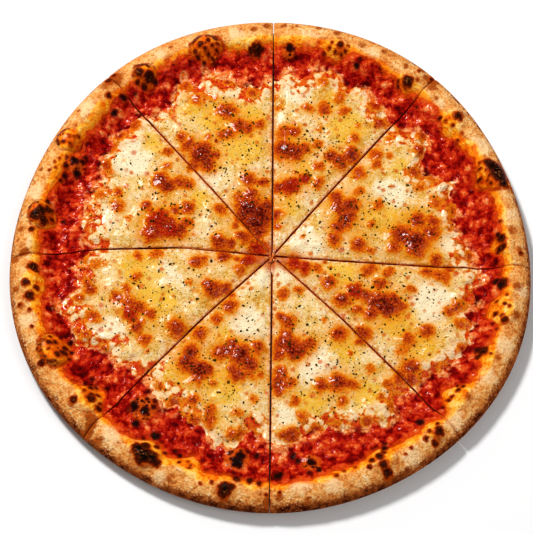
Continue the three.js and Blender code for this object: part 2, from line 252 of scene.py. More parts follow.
# The sauce: bare between the cheese's edge and the rim, thin under the cheese.
sauce = dict(
    gap=0.3,
    underCheese=1.5,
    inRing=2.6,
    starts=108,
    full=122,
    edge=147,
    edgeWaves=((7, 1.2, 13), (17, 0.8, 2)),
    edgeThin=0.45,
    edgeWidth=5,
    lump=0.55,
    lumpScale=1.3,
    bubbles=(
        (85.5, 145, 6, 1.6), (153, 140, 8, 2.6), (231.5, 126, 11, 2.6), (261, 133, 10, 2.8),
        (280.5, 136, 8, 1.6),
    ),
    raggedness=((0, 1.3, 3), (1, 1.2, 8)),
    raggedShift=0.8,
    pulpRise=1.1,
    swell=((5, 0.4, 9),),
    dive=8,  # the width in which it dives into the dough
    innerRows=(4, 10, 30, 60, 90, 108),
    ringRows=62,
    columns=170,
)


def ripple(x, y):
    wide = 0.55 * np.sin(x * 0.41 + 2 * np.sin(y * 0.13))
    return wide + 0.45 * np.sin(y * 0.53 - 1.7 * np.sin(x * 0.17))


def sauceEdge(angle):
    free = sauce["edge"] + wavesAt(sauce["edgeWaves"], angle)
    push = np.zeros_like(angle)
    for degrees, at, size, rise in dough["bubbles"]:
        along = 2 * at * np.abs(np.sin((angle - math.radians(degrees)) / 2))
        push = np.maximum(push, (free - at + size) * bump(along, size * bubbleFoot))
    return free - push


def sauceTop(p):
    opening = ease(p.r, sauce["starts"], sauce["full"])
    toEdge = clamp((sauceEdge(p.angle) - p.r) / sauce["edgeWidth"])
    full = mix(sauce["underCheese"], sauce["inRing"], opening)
    thickness = full * mix(sauce["edgeThin"], 1, quarterRound(toEdge))
    lumps = sauce["lump"] * ripple(p.x * sauce["lumpScale"], p.y * sauce["lumpScale"]) * toEdge
    return doughTop(p) + sauce["gap"] + thickness + opening * (lumps + liftOf(sauce["bubbles"], p))


# The cheese: its ragged edge as angle and distance out, and its largest blisters as x, y, radius, rise.
cheese = dict(
    gap=0.3,
    thickness=2.7,
    edgeThin=0.4,
    edgeWidth=7,
    ripple=0.35,
    least=0.8,
    edge=(
        (2, 128), (12, 118), (24, 127), (34, 115), (41, 131), (49, 121), (57, 127), (66, 130),
        (74, 135), (84, 127), (95, 119), (108, 132), (117, 131), (125, 120), (133, 129), (144, 130),
        (155, 120), (165, 126), (176, 115), (184, 122), (196, 131), (203, 132), (212, 118), (219, 111),
        (230, 111), (239, 114), (248, 121), (257, 124), (265, 117), (273, 121), (286, 118), (297, 124),
        (305, 129), (311, 118), (319, 126), (329, 132), (335, 137), (344, 126), (354, 132),
    ),
    blisters=(
        (92, 15, 12, 1.8), (47, 34, 9, 1.5), (71, 73, 6, 1.2), (12, 80, 10, 1.7), (12, 53, 9, 1.4),
        (44, 69, 7, 1.4), (-43, 74, 10, 1.7), (-13, 33, 11, 1.8), (-23, 100, 8, 1.3),
        (-68, 24, 14, 1.8), (-67, 54, 10, 1.5), (-32, 16, 7, 1.3), (-90, -32, 11, 1.4),
        (-36, -19, 8, 1.5), (-58, -46, 6, 1.2), (-50, -64, 11, 1.7), (-19, -65, 12, 1.6),
        (-32, -28, 5, 1.2), (13, -58, 10, 1.6), (13, -82, 9, 1.4), (40, -83, 9, 1.5),
        (71, -30, 13, 1.8), (97, -49, 6, 1.2), (47, -27, 6, 1.3),
    ),
    raggedness=((2, 4.5, 7), (3, 2.4, 3)),
    raggedShift=1,
    curdSize=4.6,
    curdRise=1.5,
    curdWidth=17,  # how far in from the edge it is lumpy
    blisterCrisp=0.45,
    bakedRise=0.95,
    ripples=((0, 0.4, 7), (1, 0.2, 3)),
    dive=9,  # the width in which it dives into the sauce
    innerRows=(4, 102, 126),  # from, to and how many
    ringRows=40,
    columns=150,
)


def cheeseEdge(degrees):
    angles = np.array([a for a, _ in cheese["edge"]], float)
    radii = np.array([r for _, r in cheese["edge"]], float)
    angles = np.concatenate([[angles[-1] - 360], angles, [angles[0] + 360]])
    radii = np.concatenate([[radii[-1]], radii, [radii[0]]])
    after = np.clip(np.searchsorted(angles, degrees, side="right"), 1, len(angles) - 1)
    share = ease(degrees, angles[after - 1], angles[after])
    return mix(radii[after - 1], radii[after], share)


def cheeseTop(p):
    toEdge = (cheeseEdge(p.degrees) - p.r) / cheese["edgeWidth"]
    rippled = cheese["thickness"] + cheese["ripple"] * ripple(p.x, p.y)
    thickness = rippled * mix(cheese["edgeThin"], 1, quarterRound(toEdge))
    return sauceTop(p) + cheese["gap"] + thickness - np.minimum(pressedAt(p), thickness - cheese["least"])


# Where the browning is, placed on the plan. Cheese spots: x, y, radius, how dark.
cheeseSpots = (
    # slice 1
    (42, 42, 6.5, 0.7), (43, 35, 6, 0.75), (51, 37, 7, 0.8), (48, 27, 8, 0.85), (42, 22, 5, 0.8),
    (57, 46, 4, 0.5), (68, 37, 4, 0.55), (64, 24, 3.5, 0.45), (76, 50, 1.5, 0.5), (95, 50, 5, 0.45),
    (105, 40, 5, 0.55), (93, 27, 7, 0.8), (103, 26, 4.5, 0.7), (83, 17, 8, 0.85), (92, 11, 9, 1),
    (102, 18, 6.5, 0.75), (78, 8, 5, 0.65), (56, 10, 5.5, 0.75), (63, 6, 3.5, 0.55),
    (104, 0, 4.5, 0.65), (126, 3, 4, 0.6), (117, 6, 1.8, 0.4), (119, 23, 4, 0.6), (67, 73, 5, 0.6),
    (76, 72, 3.5, 0.5), (57, 59, 5.5, 0.6), (95, 75, 4.5, 0.7), (97, 87, 5, 0.65), (85, 92, 5, 0.7),
    (76, 83, 3.5, 0.45), (92, 61, 4.5, 0.6), (103, 57, 5, 0.5), (40, 13, 5, 0.7), (20, 16, 2, 0.4),
    (116, 34, 5, 0.5), (112, 22, 2.5, 0.4), (68, 66, 3, 0.6),
    # slice 2
    (6, 106, 3.5, 0.45), (24, 105, 4.5, 0.5), (35, 104, 6, 0.65), (47, 103, 4, 0.6),
    (45, 112, 4.5, 0.55), (34, 124, 5, 0.5), (45, 123, 2, 0.55), (8, 88, 6.5, 0.65), (15, 89, 5, 0.7),
    (9, 76, 8, 0.85), (15, 74, 7, 0.8), (22, 77, 4.5, 0.6), (30, 80, 4, 0.5), (31, 91, 3.5, 0.4),
    (39, 71, 5, 0.8), (45, 68, 5.5, 0.85), (52, 72, 6.5, 0.8), (53, 84, 4.5, 0.5), (5, 50, 4.5, 0.8),
    (13, 50, 7, 0.9), (21, 55, 4.5, 0.85), (30, 52, 5, 0.6), (31, 64, 4, 0.6), (3, 113, 3, 0.45),
    (67, 107, 5, 0.75), (77, 105, 4.5, 0.7), (70, 95, 4, 0.7), (16, 60, 3, 0.5), (4, 31, 4.5, 0.65),
    (5, 24, 3.5, 0.6), (57, 92, 3, 0.4),
    # slice 3
    (-28, 103, 7, 0.8), (-21, 93, 6, 0.75), (-15, 92, 5, 0.75), (-7, 94, 4.5, 0.7), (-32, 87, 4, 0.65),
    (-27, 87, 4.5, 0.65), (-47, 111, 5, 0.55), (-37, 113, 3.5, 0.45), (-44, 73, 8.5, 0.95),
    (-36, 72, 4, 0.7), (-40, 66, 6, 0.8), (-53, 79, 5, 0.75), (-58, 85, 4.5, 0.6), (-13, 55, 6, 0.75),
    (-5, 53, 4, 0.7), (-12, 45, 5, 0.75), (-20, 44, 4, 0.6), (-14, 36, 9, 1), (-6, 31, 9, 1),
    (-10, 26, 8, 0.95), (-18, 31, 6, 0.85), (-2, 38, 5, 0.8), (-8, 20, 6, 0.75), (-27, 125, 4, 0.75),
    (-12, 116, 4, 0.65), (-55, 121, 5, 0.65), (-65, 115, 4.5, 0.7), (-41, 84, 3.5, 0.45),
    (-35, 82, 2, 0.7), (-32, 34, 5, 0.65), (-22, 24, 3, 0.65), (-19, 17, 4, 0.7), (-66, 105, 4, 0.5),
    # slice 4
    (-70, 54, 6, 0.85), (-66, 50, 5.5, 0.85), (-58, 53, 5.5, 0.65), (-52, 52, 4, 0.65),
    (-66, 75, 4, 0.6), (-67, 64, 4, 0.5), (-50, 65, 4.5, 0.75), (-97, 46, 4, 0.6), (-107, 44, 4.5, 0.5),
    (-97, 37, 5.5, 0.65), (-91, 28, 3, 0.4), (-71, 27, 8, 0.9), (-78, 36, 4.5, 0.75),
    (-64, 22, 8, 0.95), (-75, 18, 7, 0.85), (-57, 20, 6, 0.85), (-61, 34, 4, 0.75), (-53, 36, 5, 0.7),
    (-53, 26, 4, 0.65), (-32, 12, 6, 0.8), (-25, 12, 4, 0.7), (-16, 15, 5, 0.7), (-8, 10, 6, 0.85),
    (-97, 86, 4.5, 0.8), (-87, 93, 4.5, 0.65), (-102, 78, 4, 0.6), (-105, 65, 4, 0.6),
    (-102, 60, 3, 0.5),
    # slice 5
    (-84, 3, 4, 0.6), (-72, 5, 5, 0.55), (-47, -1, 5, 0.75), (-42, 0, 4, 0.5), (-30, 3, 5, 0.75),
    (-22, 2, 3, 0.6), (-15, 0, 5.5, 0.85), (-19, -7, 4, 0.6), (-36, -20, 6.5, 0.8), (-40, -16, 4, 0.7),
    (-28, -19, 4, 0.7), (-85, -11, 4.5, 0.5), (-51, -15, 3, 0.4), (-113, -19, 5, 0.75),
    (-115, -15, 3, 0.6), (-90, -20, 4, 0.6), (-97, -25, 4.5, 0.65), (-89, -29, 6, 0.65),
    (-83, -32, 6, 0.65), (-89, -36, 5, 0.8), (-87, -39, 4, 0.7), (-111, -38, 5.5, 0.6),
    (-76, -37, 5, 0.6), (-83, -45, 5, 0.7), (-79, -53, 5, 0.65), (-120, -26, 4.5, 0.65),
    (-59, -46, 7, 0.75), (-103, -58, 3, 0.6), (-116, -50, 3.5, 0.7), (-77, -61, 1.5, 0.6),
    (-105, -2, 3, 0.4), (-119, 0, 6, 0.45), (-110, -3, 4, 0.4),
    # slice 6
    (-26, -31, 6, 0.75), (-34, -40, 5, 0.6), (-45, -49, 6, 0.75), (-24, -23, 3, 0.5),
    (-50, -62, 7, 0.9), (-52, -69, 7, 0.85), (-45, -74, 8, 0.95), (-39, -74, 4, 0.75),
    (-31, -61, 6, 0.8), (-24, -57, 5, 0.75), (-27, -62, 5, 0.8), (-18, -63, 7, 0.85),
    (-13, -69, 7, 0.85), (-20, -66, 6, 0.8), (-8, -58, 5, 0.75), (-20, -77, 6, 0.75),
    (-23, -74, 4, 0.65), (-35, -82, 3, 0.5), (-48, -93, 5.5, 0.6), (-37, -99, 4.5, 0.65),
    (-38, -106, 5, 0.6), (-47, -106, 5, 0.55), (-20, -102, 4, 0.5), (-11, -93, 3.5, 0.5),
    (-17, -114, 5, 0.5), (-24, -115, 5, 0.5), (-11, -115, 4, 0.6), (-12, -78, 4, 0.45),
    (-6, -76, 3, 0.5), (-68, -83, 3.5, 0.5), (-45, -83, 3, 0.35), (-60, -95, 5, 0.6),
    (-58, -103, 5, 0.6),
    # slice 7
    (8, -56, 6, 0.75), (13, -58, 7.5, 0.85), (15, -62, 6, 0.9), (5, -63, 5, 0.75), (10, -50, 5, 0.7),
    (24, -56, 5.5, 0.7), (20, -60, 4, 0.7), (42, -50, 6.5, 0.75), (11, -42, 5.5, 0.7), (6, -39, 4, 0.7),
    (8, -23, 4.5, 0.55), (18, -20, 4.5, 0.55), (6, -75, 5, 0.7), (6, -82, 6.5, 0.8), (13, -83, 4, 0.65),
    (4, -88, 4, 0.65), (15, -94, 4, 0.55), (32, -84, 5.5, 0.7), (42, -82, 7, 0.85),
    (50, -83, 4.5, 0.65), (44, -94, 4.5, 0.55), (19, -104, 4.5, 0.5), (13, -116, 5.5, 0.7),
    (8, -116, 4, 0.6), (28, -113, 5, 0.7), (40, -112, 5, 0.65), (50, -63, 2, 0.5), (62, -73, 4, 0.45),
    (33, -41, 2.5, 0.4), (73, -83, 4, 0.5), (75, -97, 4, 0.5), (68, -92, 4, 0.5), (78, -91, 4, 0.7),
    (60, -106, 4, 0.6),
    # slice 8
    (62, -7, 5.5, 0.65), (72, -9, 3.5, 0.6), (76, -7, 3, 0.55), (69, -16, 4.5, 0.65), (37, -16, 5, 0.7),
    (53, -21, 5.5, 0.9), (60, -24, 4.5, 0.75), (45, -27, 6, 0.8), (70, -29, 8.5, 0.95), (74, -33, 7, 1),
    (64, -29, 5, 0.8), (78, -27, 5, 0.8), (82, -31, 4.5, 0.65), (62, -36, 5, 0.75), (54, -34, 4, 0.6),
    (98, -8, 5.5, 0.6), (106, -10, 5.5, 0.6), (112, -6, 4, 0.65), (110, -14, 4, 0.5),
    (88, -20, 4, 0.55), (98, -48, 5.5, 0.7), (86, -53, 6, 0.65), (82, -60, 6, 0.4),
    (112, -35, 4.5, 0.6), (117, -31, 5, 0.6), (118, -43, 5, 0.6), (58, -48, 6, 0.75),
    (56, -55, 3.5, 0.7), (87, -72, 6, 0.8), (80, -78, 6, 0.7), (87, -80, 5, 0.7), (15, -1, 5, 0.9),
    (22, -5, 5, 0.85), (30, -5, 4, 0.6), (108, -72, 5, 0.6), (118, -58, 3.5, 0.6), (34, 0, 2, 0.6),
)
redSpots = (
    (53, -21, 6), (13, 50, 7), (21, 55, 5), (-89, -36, 6), (-71, 27, 9), (-66, 20, 8), (-79, 18, 6),
    (15, -1, 8), (-12, 2, 8), (-8, 9, 7), (22, -6, 5), (95, 75, 5), (87, 90, 7), (70, 96, 4),
    (68, 106, 5), (0, -4, 4),
)
milkSpots = (
    (18, 117, 11), (101, -29, 16), (-106, 30, 10), (-90, 72, 16), (-103, -50, 14), (-70, -9, 12),
    (-15, -42, 12), (112, 12, 8), (76, 45, 12), (22, 12, 12), (-40, 55, 10), (8, -9, 7), (30, -70, 14),
    (-36, 120, 7), (98, 82, 9), (5, 96, 5), (10, -103, 8), (-10, 64, 5), (-5, -12, 8), (52, 120, 6),
)
oilSpots = (
    (-13, 103, 9), (-50, 105, 9), (-17, 78, 16), (40, 112, 8), (22, 63, 8), (92, 22, 16), (80, -42, 14),
    (95, -58, 12), (-82, -5, 16), (-72, -28, 16), (-108, 46, 10), (-76, 80, 9), (-60, -82, 14),
    (-30, -84, 14), (-28, -50, 8), (60, -90, 12), (25, -95, 12), (45, -60, 12), (50, 90, 14),
    (85, 62, 10), (70, 30, 14), (45, -8, 12), (-8, 97, 10), (-35, 100, 14), (12, 37, 8), (-45, 42, 9),
)

# Burnt spots on the rim: angle, distance out, radius.
charSpots = (
    (53.7, 149, 3.6), (56, 147, 1), (55.5, 145, 1), (52, 154, 1.1), (53.3, 160, 1.2),
    (48.3, 141.5, 0.9), (38.2, 153, 3.2), (39.7, 146, 1.1), (41.5, 145, 1.4), (37.5, 147, 1.1),
    (34, 144.5, 0.8), (34.5, 148.5, 0.9), (23, 153, 4.4), (21.4, 154.4, 5), (19.8, 155.2, 4.8),
    (18.4, 155.6, 3.6), (24.4, 151.6, 3.2), (23.8, 145.5, 1.3), (21.5, 143, 1.5), (22.5, 148, 1),
    (20, 146.5, 1.2), (19, 147.5, 1.3), (25.5, 147.5, 1), (20.8, 148.3, 0.8), (9, 146.5, 0.9),
    (4.5, 145.5, 3), (2, 145, 3), (5.8, 144, 1.6), (67, 149, 1.2), (67.3, 145, 2.2), (72.7, 152.5, 2.3),
    (75.3, 149.5, 1.2), (73.6, 148, 1.1), (71.9, 147.5, 1), (76.3, 146.5, 1.1), (74.9, 152.5, 1),
    (71.2, 150, 1), (70.9, 153.5, 0.9), (85.2, 147, 2.6), (84.2, 146.2, 1.4), (93.3, 145.7, 3.8),
    (95, 145, 2.2), (105.2, 153.5, 1.9), (107.3, 152.5, 2.1), (109, 150, 1.4), (106.5, 149, 1.5),
    (104.6, 150, 1.2), (108.6, 146.5, 1.6), (106, 146, 1.5), (103.6, 147.3, 1.4), (105.1, 143.6, 1.3),
    (107.4, 143.3, 1.2), (103.2, 150.6, 1.3), (124, 151.5, 3), (122.2, 146.3, 3.6), (124.5, 144, 2),
    (125.5, 147.5, 1.6), (121.3, 143.6, 1.7), (127.5, 143.5, 1.1), (130.7, 145.5, 2.4),
    (133.5, 151, 1.8), (135, 142, 2.2), (130.6, 160.5, 2.2), (128.7, 161.5, 1.6), (50, 162, 1.6),
    (150, 152.5, 1.4), (148, 151, 1.2), (149.6, 147.8, 1.4), (147.5, 148.6, 1.1), (146.6, 147, 1),
    (155.2, 151, 0.9), (156.6, 149, 0.8), (157.8, 151.5, 0.9), (154, 149.5, 0.8), (152.2, 141, 2.8),
    (154.5, 144.5, 1.8), (151, 137.2, 1.9), (149.2, 137.6, 1.6), (154.7, 136.6, 2.6), (156.8, 142.5, 2),
    (152.6, 146, 1.1), (158.6, 143.5, 1.2), (170, 150, 4), (168.6, 147.3, 3.6), (170.6, 145.3, 3),
    (167.5, 143.8, 2.6), (165.3, 146, 1.7), (169.3, 141, 1.7), (173.5, 151.5, 1.8), (168.5, 134, 1.6),
    (183, 149, 3.4), (187.2, 154, 2.6), (190.5, 153, 3.3), (188.5, 148, 1.6), (192, 160, 1.4),
    (194, 154.5, 1.3), (198, 155.5, 1.1), (202, 153, 1), (203.7, 157, 1.2), (206.8, 147.5, 2.2),
    (203.4, 149.2, 2.1), (203.4, 145.5, 1.7), (206.5, 143.5, 2.2), (205.2, 141, 1.8),
    (206.3, 138.3, 1.6), (203.6, 136.5, 1.8), (201.6, 147, 1.2), (208.2, 141.5, 1.3),
    (201.9, 141.3, 1.1), (204.9, 151.2, 1.1), (207, 158.5, 2.4), (218.5, 154.5, 2.4), (223.5, 146, 2.2),
    (220.7, 145.7, 2.8), (218, 145, 1.4), (219.7, 143, 1.5), (217.5, 140, 1.7), (220.3, 139.5, 1.4),
    (216, 141.5, 1.2), (218, 137, 1.2), (215.6, 136, 1.4), (222.6, 142.6, 1.2), (239.7, 153.3, 5),
    (241.6, 151.8, 4.4), (237.8, 150.7, 4.2), (242.8, 152.8, 3), (238.6, 146.8, 2.8),
    (232.5, 136.5, 2.4), (238.5, 135.7, 3), (240.6, 142, 1.8), (236.5, 141.5, 1.3), (229, 128.5, 3.3),
    (232.3, 126.8, 3), (233.6, 121.6, 1.8), (232.7, 118, 1.3), (230.5, 120, 1.4), (228.3, 124, 1.3),
    (247.5, 146, 1.4), (250.5, 147.5, 1.1), (249.3, 143, 1.1), (246.7, 140.5, 1.8), (245, 139, 1.6),
    (243.2, 143.6, 1.3), (252.3, 138.5, 1.2), (254, 155, 0.9), (256.4, 152.5, 1.2), (259.5, 155.5, 4.4),
    (261, 153.8, 2.4), (261.3, 135, 4), (261.8, 131, 3.2), (266, 129, 2), (263.6, 126.6, 1.3),
    (258.9, 129.6, 1.3), (267.3, 149, 2), (265, 147.5, 2.2), (261.8, 147.2, 2.2), (269, 156, 1.1),
    (271.8, 142.5, 3.4), (272, 155, 1.3), (276, 129.5, 2.2), (277.2, 133, 2), (280.5, 135.4, 3),
    (282, 142, 1.9), (279.3, 143.5, 1.6), (290.3, 148, 0.9), (287.5, 147.5, 1.2), (285.5, 149.6, 1.2),
    (296.5, 159, 3), (296.3, 154, 2.8), (296.5, 148, 2.7), (294.5, 148, 1.8), (298, 146.6, 1.7),
    (299, 143.6, 2.2), (299.8, 140.6, 1.6), (293.4, 151.5, 1.5), (304, 153, 1), (302, 154.5, 0.9),
    (311.3, 155.3, 3), (308, 153.6, 1.6), (309.7, 151.5, 1.4), (312.4, 151, 1.1), (309, 159, 2),
    (310.2, 141.8, 2.6), (324, 146.5, 1.4), (322.5, 145.5, 1.7), (320.3, 145, 1.1), (319, 144.5, 1.3),
    (316.8, 145, 1.1), (323.7, 143, 1), (334.4, 145.7, 3.4), (332.9, 144.5, 1.8), (334.7, 141.6, 2),
    (334, 151, 0.9), (344.5, 145, 1.6), (347, 149.5, 1.2), (344, 149.5, 1.2), (342, 145, 1.1),
    (348, 144, 1), (346.5, 152.5, 1), (343, 152, 2), (340.7, 148.6, 1), (349.5, 149.6, 0.9),
    (352.7, 146, 3.2), (353.6, 142, 2), (0.3, 157, 1.4),
)
# Brown toasted patches on the rim, softer than the burnt ones.
toastSpots = (
    (128.5, 159, 6), (132, 158, 5), (49.2, 162, 5), (53, 163, 3), (181, 160, 3), (226, 162, 4),
    (225, 157, 4), (106, 150, 7), (123.5, 148, 5), (148.8, 150, 5), (153, 141, 6), (169, 147, 5),
    (219.5, 144, 6), (231, 125, 7), (261.5, 133, 7), (21, 153, 7), (38.5, 152, 4), (296.5, 154, 5),
    (205, 144, 6), (320, 145, 3), (334, 145, 4), (239.6, 152, 7), (250, 146, 4), (280.5, 136, 4),
    (93.5, 146, 4), (85, 146, 3), (4, 146, 4), (72.5, 150, 5), (56.5, 158, 3), (62.5, 160, 3),
    (68, 158, 3.4), (74.3, 162, 3.6), (79, 163, 2.4), (84, 162, 2), (87, 162, 3), (91, 162, 3),
    (94, 159, 3), (48, 157, 4), (51, 160, 3), (45.5, 152, 2), (38.4, 155, 4), (20.8, 157.5, 5),
    (1, 156, 3), (6, 153, 4), (129, 157, 4), (131, 160, 4), (133.6, 152, 3), (141, 158, 2),
    (158, 157.5, 2), (173.5, 158, 3), (170, 152.5, 3.5), (179, 155, 3), (188, 160, 3),
    (192.5, 159, 2.6), (207, 157.5, 4), (218.5, 156, 4), (224, 154, 4), (240.5, 157, 4.5),
    (247, 158, 3), (260, 159.5, 4), (269, 160, 3), (272, 158, 3), (296, 161.5, 4), (310, 158.5, 4),
    (322, 153, 4), (334, 156, 3), (345, 158, 4), (352, 155, 4), (17, 158.5, 4), (106, 157.5, 3.5),
    (114, 159, 2), (123.5, 156, 3), (148.5, 157, 3), (113, 152, 1.4), (229, 161, 4), (278, 161, 3),
)
# Floury places, pale and dry.
flourSpots = (
    (212.5, 147, 5), (231, 151, 10), (236, 146, 5), (245, 160, 5), (277, 151, 8), (284, 155, 7),
    (65, 154, 6), (80, 153, 7), (117, 157, 6), (98, 157, 6), (29, 155, 8), (44, 150, 5), (10, 155, 6),
    (139, 155, 8), (164, 156, 7), (177, 152, 3), (196, 158, 6), (303, 158, 7), (316, 156, 7),
    (329, 155, 7), (337, 157, 7), (351, 159, 5),
)


def onPlan(spots):
    return [(*polar(at, degrees), size) for degrees, at, size in spots]


# Meshes. A piece is made of an upper and an under surface, grids of the same columns that meet at the tip.
def makePiece(name, upper, under, masks, shared):
    rows, columns = upper[0].shape
    lowRows = under[0].shape[0]
    points = np.concatenate([np.stack(grid[:3], -1).reshape(-1, 3) for grid in (upper, under)])
    top = np.arange(rows * columns).reshape(rows, columns)
    low = rows * columns + np.arange(lowRows * columns).reshape(lowRows, columns)
    top[0], low[0] = top[0, 0], low[0, 0]
    if shared:  # the last rows are one line
        low[-1] = top[-1]

    def strips(a, b):  # triangles between two lines of the same length
        return np.concatenate([np.stack([a[:-1], b[:-1], b[1:]], -1), np.stack([a[:-1], b[1:], a[1:]], -1)])

    faces = [strips(top[i], top[i + 1]) for i in range(rows - 1)]
    faces += [strips(low[i], low[i + 1])[:, ::-1] for i in range(lowRows - 1)]
    if not shared:
        faces.append(strips(top[-1], low[-1]))
    for column, flip in ((0, False), (columns - 1, True)):  # the two cut faces
        topAt, lowAt = upper[3][:, column], under[3][:, column]
        i = j = 0
        side = []
        while i + 1 < rows or j + 1 < lowRows:
            nextTop = topAt[i + 1] if i + 1 < rows else math.inf
            nextLow = lowAt[j + 1] if j + 1 < lowRows else math.inf
            a, b = top[i, column], low[j, column]
            if nextTop <= nextLow:
                i += 1
                side.append((a, b, top[i, column]))
            else:
                j += 1
                side.append((a, b, low[j, column]))
        side = np.array(side)
        faces.append(side[:, ::-1] if flip else side)
    faces = np.concatenate(faces)
    whole = (faces[:, 0] != faces[:, 1]) & (faces[:, 1] != faces[:, 2]) & (faces[:, 0] != faces[:, 2])
    faces = faces[whole]
    used, faces = np.unique(faces, return_inverse=True)
    faces = faces.reshape(-1, 3)
    points = points[used]
    points[:, 0] -= middle[0]
    points[:, 1] -= middle[1]
    mesh = bpy.data.meshes.new(name)
    mesh.vertices.add(len(points))
    mesh.vertices.foreach_set("co", (points * millimetre).ravel())
    mesh.loops.add(faces.size)
    mesh.loops.foreach_set("vertex_index", faces.ravel())
    mesh.polygons.add(len(faces))
    mesh.polygons.foreach_set("loop_start", np.arange(0, faces.size, 3))
    mesh.update(calc_edges=True)
    for mask, (onTop, onLow) in masks.items():
        values = np.concatenate([onTop.ravel(), onLow.ravel()])[used]
        mesh.attributes.new(mask, "FLOAT", "POINT").data.foreach_set("value", values.astype(np.float32))
    mesh.polygons.foreach_set("use_smooth", np.ones(len(faces), bool))
    mesh.set_sharp_from_angle(angle=math.radians(60))
    mesh.validate()
    piece = bpy.data.objects.new(name, mesh)
    bpy.context.collection.objects.link(piece)
    return piece


def gridOf(number, columns, rows, kind):
    share = sharesOf(columns)[None, :]
    rows = np.asarray(rows, float)
    r = rows[:, None] if rows.ndim == 1 else rows
    return Place(number, share + 0 * r, r + 0 * share, plan["setBack"][kind], plan["tips"][kind])


def surface(p, z):
    return (p.x, p.y, z, p.r)


def sharesOf(columns):
    share = np.linspace(0, 1, columns)
    return mix(share, 0.5 - 0.5 * np.cos(math.pi * share), 0.35)  # closer together beside the cuts


def spotsNear(spots, x, y, room):
    inside = (x.min() - room, x.max() + room, y.min() - room, y.max() + room)
    return [s for s in spots if inside[0] < s[0] < inside[1] and inside[2] < s[1] < inside[3]]


def largestBump(spots, p, reach):
    most = np.zeros_like(p.x)
    for x, y, size in spotsNear(spots, p.x, p.y, 20):
        most = np.maximum(most, bump(np.hypot(p.x - x, p.y - y), size * reach))
    return most


def charDepthAt(p):  # how deep inside a burnt spot, in mm, below nought outside
    nudge = 0.5 * grains[2].at(p.x, p.y, 2.2), 0.5 * grains[3].at(p.x, p.y, 2.2)
    depth = np.full_like(p.x, -9.0)
    for x, y, size in spotsNear(onPlan(charSpots), p.x, p.y, 9):
        distance = np.hypot(p.x + nudge[0] * size * 0.5 - x, p.y + nudge[1] * size * 0.5 - y)
        inside = size - distance
        depth = np.maximum(depth, np.where(inside > 0, inside, inside * min(1, 2.2 / size)))
    return depth


def bubblesFrom(bubbles, p):  # each bubble's uneven distances, radius, rise and whether it is scorched
    uneven = 1 + 0.1 * grains[3].at(p.x, p.y, 6)
    for degrees, at, size, rise in bubbles:
        x, y = polar(at, degrees)
        yield np.hypot(p.x - x, p.y - y) * uneven, size, rise, degrees in dough["scorched"]


def domesAt(p):  # bubbles stand crisper than in the solid: a rounder cap with a groove at its foot
    lift = np.zeros_like(p.x)
    for distance, size, rise, dark in bubblesFrom(dough["bubbles"] + dough["smallBubbles"], p):
        cap, foot = quarterRound(1 - distance / size), ringAt(distance, size * 1.04, size * 0.26)
        lift += min(rise, 2.6) * (0.7 if dark else 0.2) * (0.8 * cap - 0.35 * foot)
    return lift


def footShadeAt(p):  # painted shade: how strongly the foot of a bubble is darkened, by how near a point is to it
    most = np.zeros_like(p.x)
    for distance, size, rise, dark in bubblesFrom(dough["bubbles"] + dough["smallBubbles"], p):
        strength = rise / 3 * (1 if dark else 0.6)
        most = np.maximum(most, ringAt(distance, size * 1.05, size * 0.28) * strength)
    return clamp(most)


def capsAt(p):  # how much a point is on a bubble's cap, and how near the dark outer side of a scorched one
    cap, scorch = np.zeros_like(p.x), np.zeros_like(p.x)
    uneven = 1 + 0.12 * grains[3].at(p.x, p.y, 6)
    for degrees, at, size, rise in dough["bubbles"]:
        x, y = polar(at, degrees)
        distance = np.hypot(p.x - x, p.y - y) * uneven + 0.01
        outward = ((p.x - x) * x + (p.y - y) * y) / at / distance
        dark = degrees in dough["scorched"]
        strength, softness = (1.6, 3) if dark else (0.8, 7)
        cap = np.maximum(cap, ease(size * 1.08 - distance, 0, softness) * strength)
        if dark:
            scorch = np.maximum(scorch, ringAt(distance, size * 0.8, size * 0.4) * ease(outward, -0.5, 0.5))
    return cap, scorch


def cutRounded(p, depth, reach):
    return depth * (1 - clamp(p.toCut / reach)) ** 2


def doughSkin(p):  # the dough's top with what is finer than the solid holds
    onRim = clamp((p.r - dough["roughFrom"]) / 8) * clamp((plan["radius"] - p.r) / 3)
    along = p.angle * plan["radius"]
    fine = domesAt(p) - dough["sunk"] + dough["charRise"] * ease(charDepthAt(p), -1.2, 1.2)
    for grain, (height, size, across) in zip(grains, dough["roughness"]):
        fine += height * grain.at(along, p.r * across, size)
    z = doughTop(p) + onRim * fine - cutRounded(p, *dough["cutRounding"]) * clamp(p.r / 20)
    start, room = dough["ceiling"]
    return np.where(z > start, start + room * (1 - np.exp((start - z) / room)), z)


def raggedSauceEdge(angle):
    x, y = 140 * np.cos(angle), 140 * np.sin(angle)
    return sauceEdge(angle) + roll(sauce["raggedness"], x, y) + sauce["raggedShift"]


def pulpAt(x, y):  # rounded crumbs of tomato with creases between them, about -0.5 to 0.7
    x, y = x + 0.8 * grains[2].at(x, y, 2.5), y + 0.8 * grains[3].at(x, y, 2.5)
    crumbs = 0.8 * pebbles[0].at(x, y, 4.2) + 0.5 * pebbles[1].at(x, y, 2.2)
    return crumbs + 0.3 * grains[4].at(x, y, 5) - 0.75


def sauceSkin(p):
    opening = ease(p.r, 110, 122)
    pulp = pulpAt(p.x, p.y)
    top = sauceTop(p) + opening * (sauce["pulpRise"] * pulp + roll(sauce["swell"], p.x, p.y))
    for distance, size, rise, _ in bubblesFrom(sauce["bubbles"], p):  # rounder than in the solid
        cap, foot = quarterRound(1 - distance / size), ringAt(distance, size * 1.04, size * 0.26)
        top = top + opening * rise * (0.3 * cap - 0.1 * foot)
    skin = doughSkin(p)
    toEdge = (raggedSauceEdge(p.angle) - p.r) / sauce["dive"] + 0.1 * pulp
    return mix(skin - 0.25, np.maximum(top, skin + 0.1), ease(toEdge, -0.25, 1))  # it dives into the dough


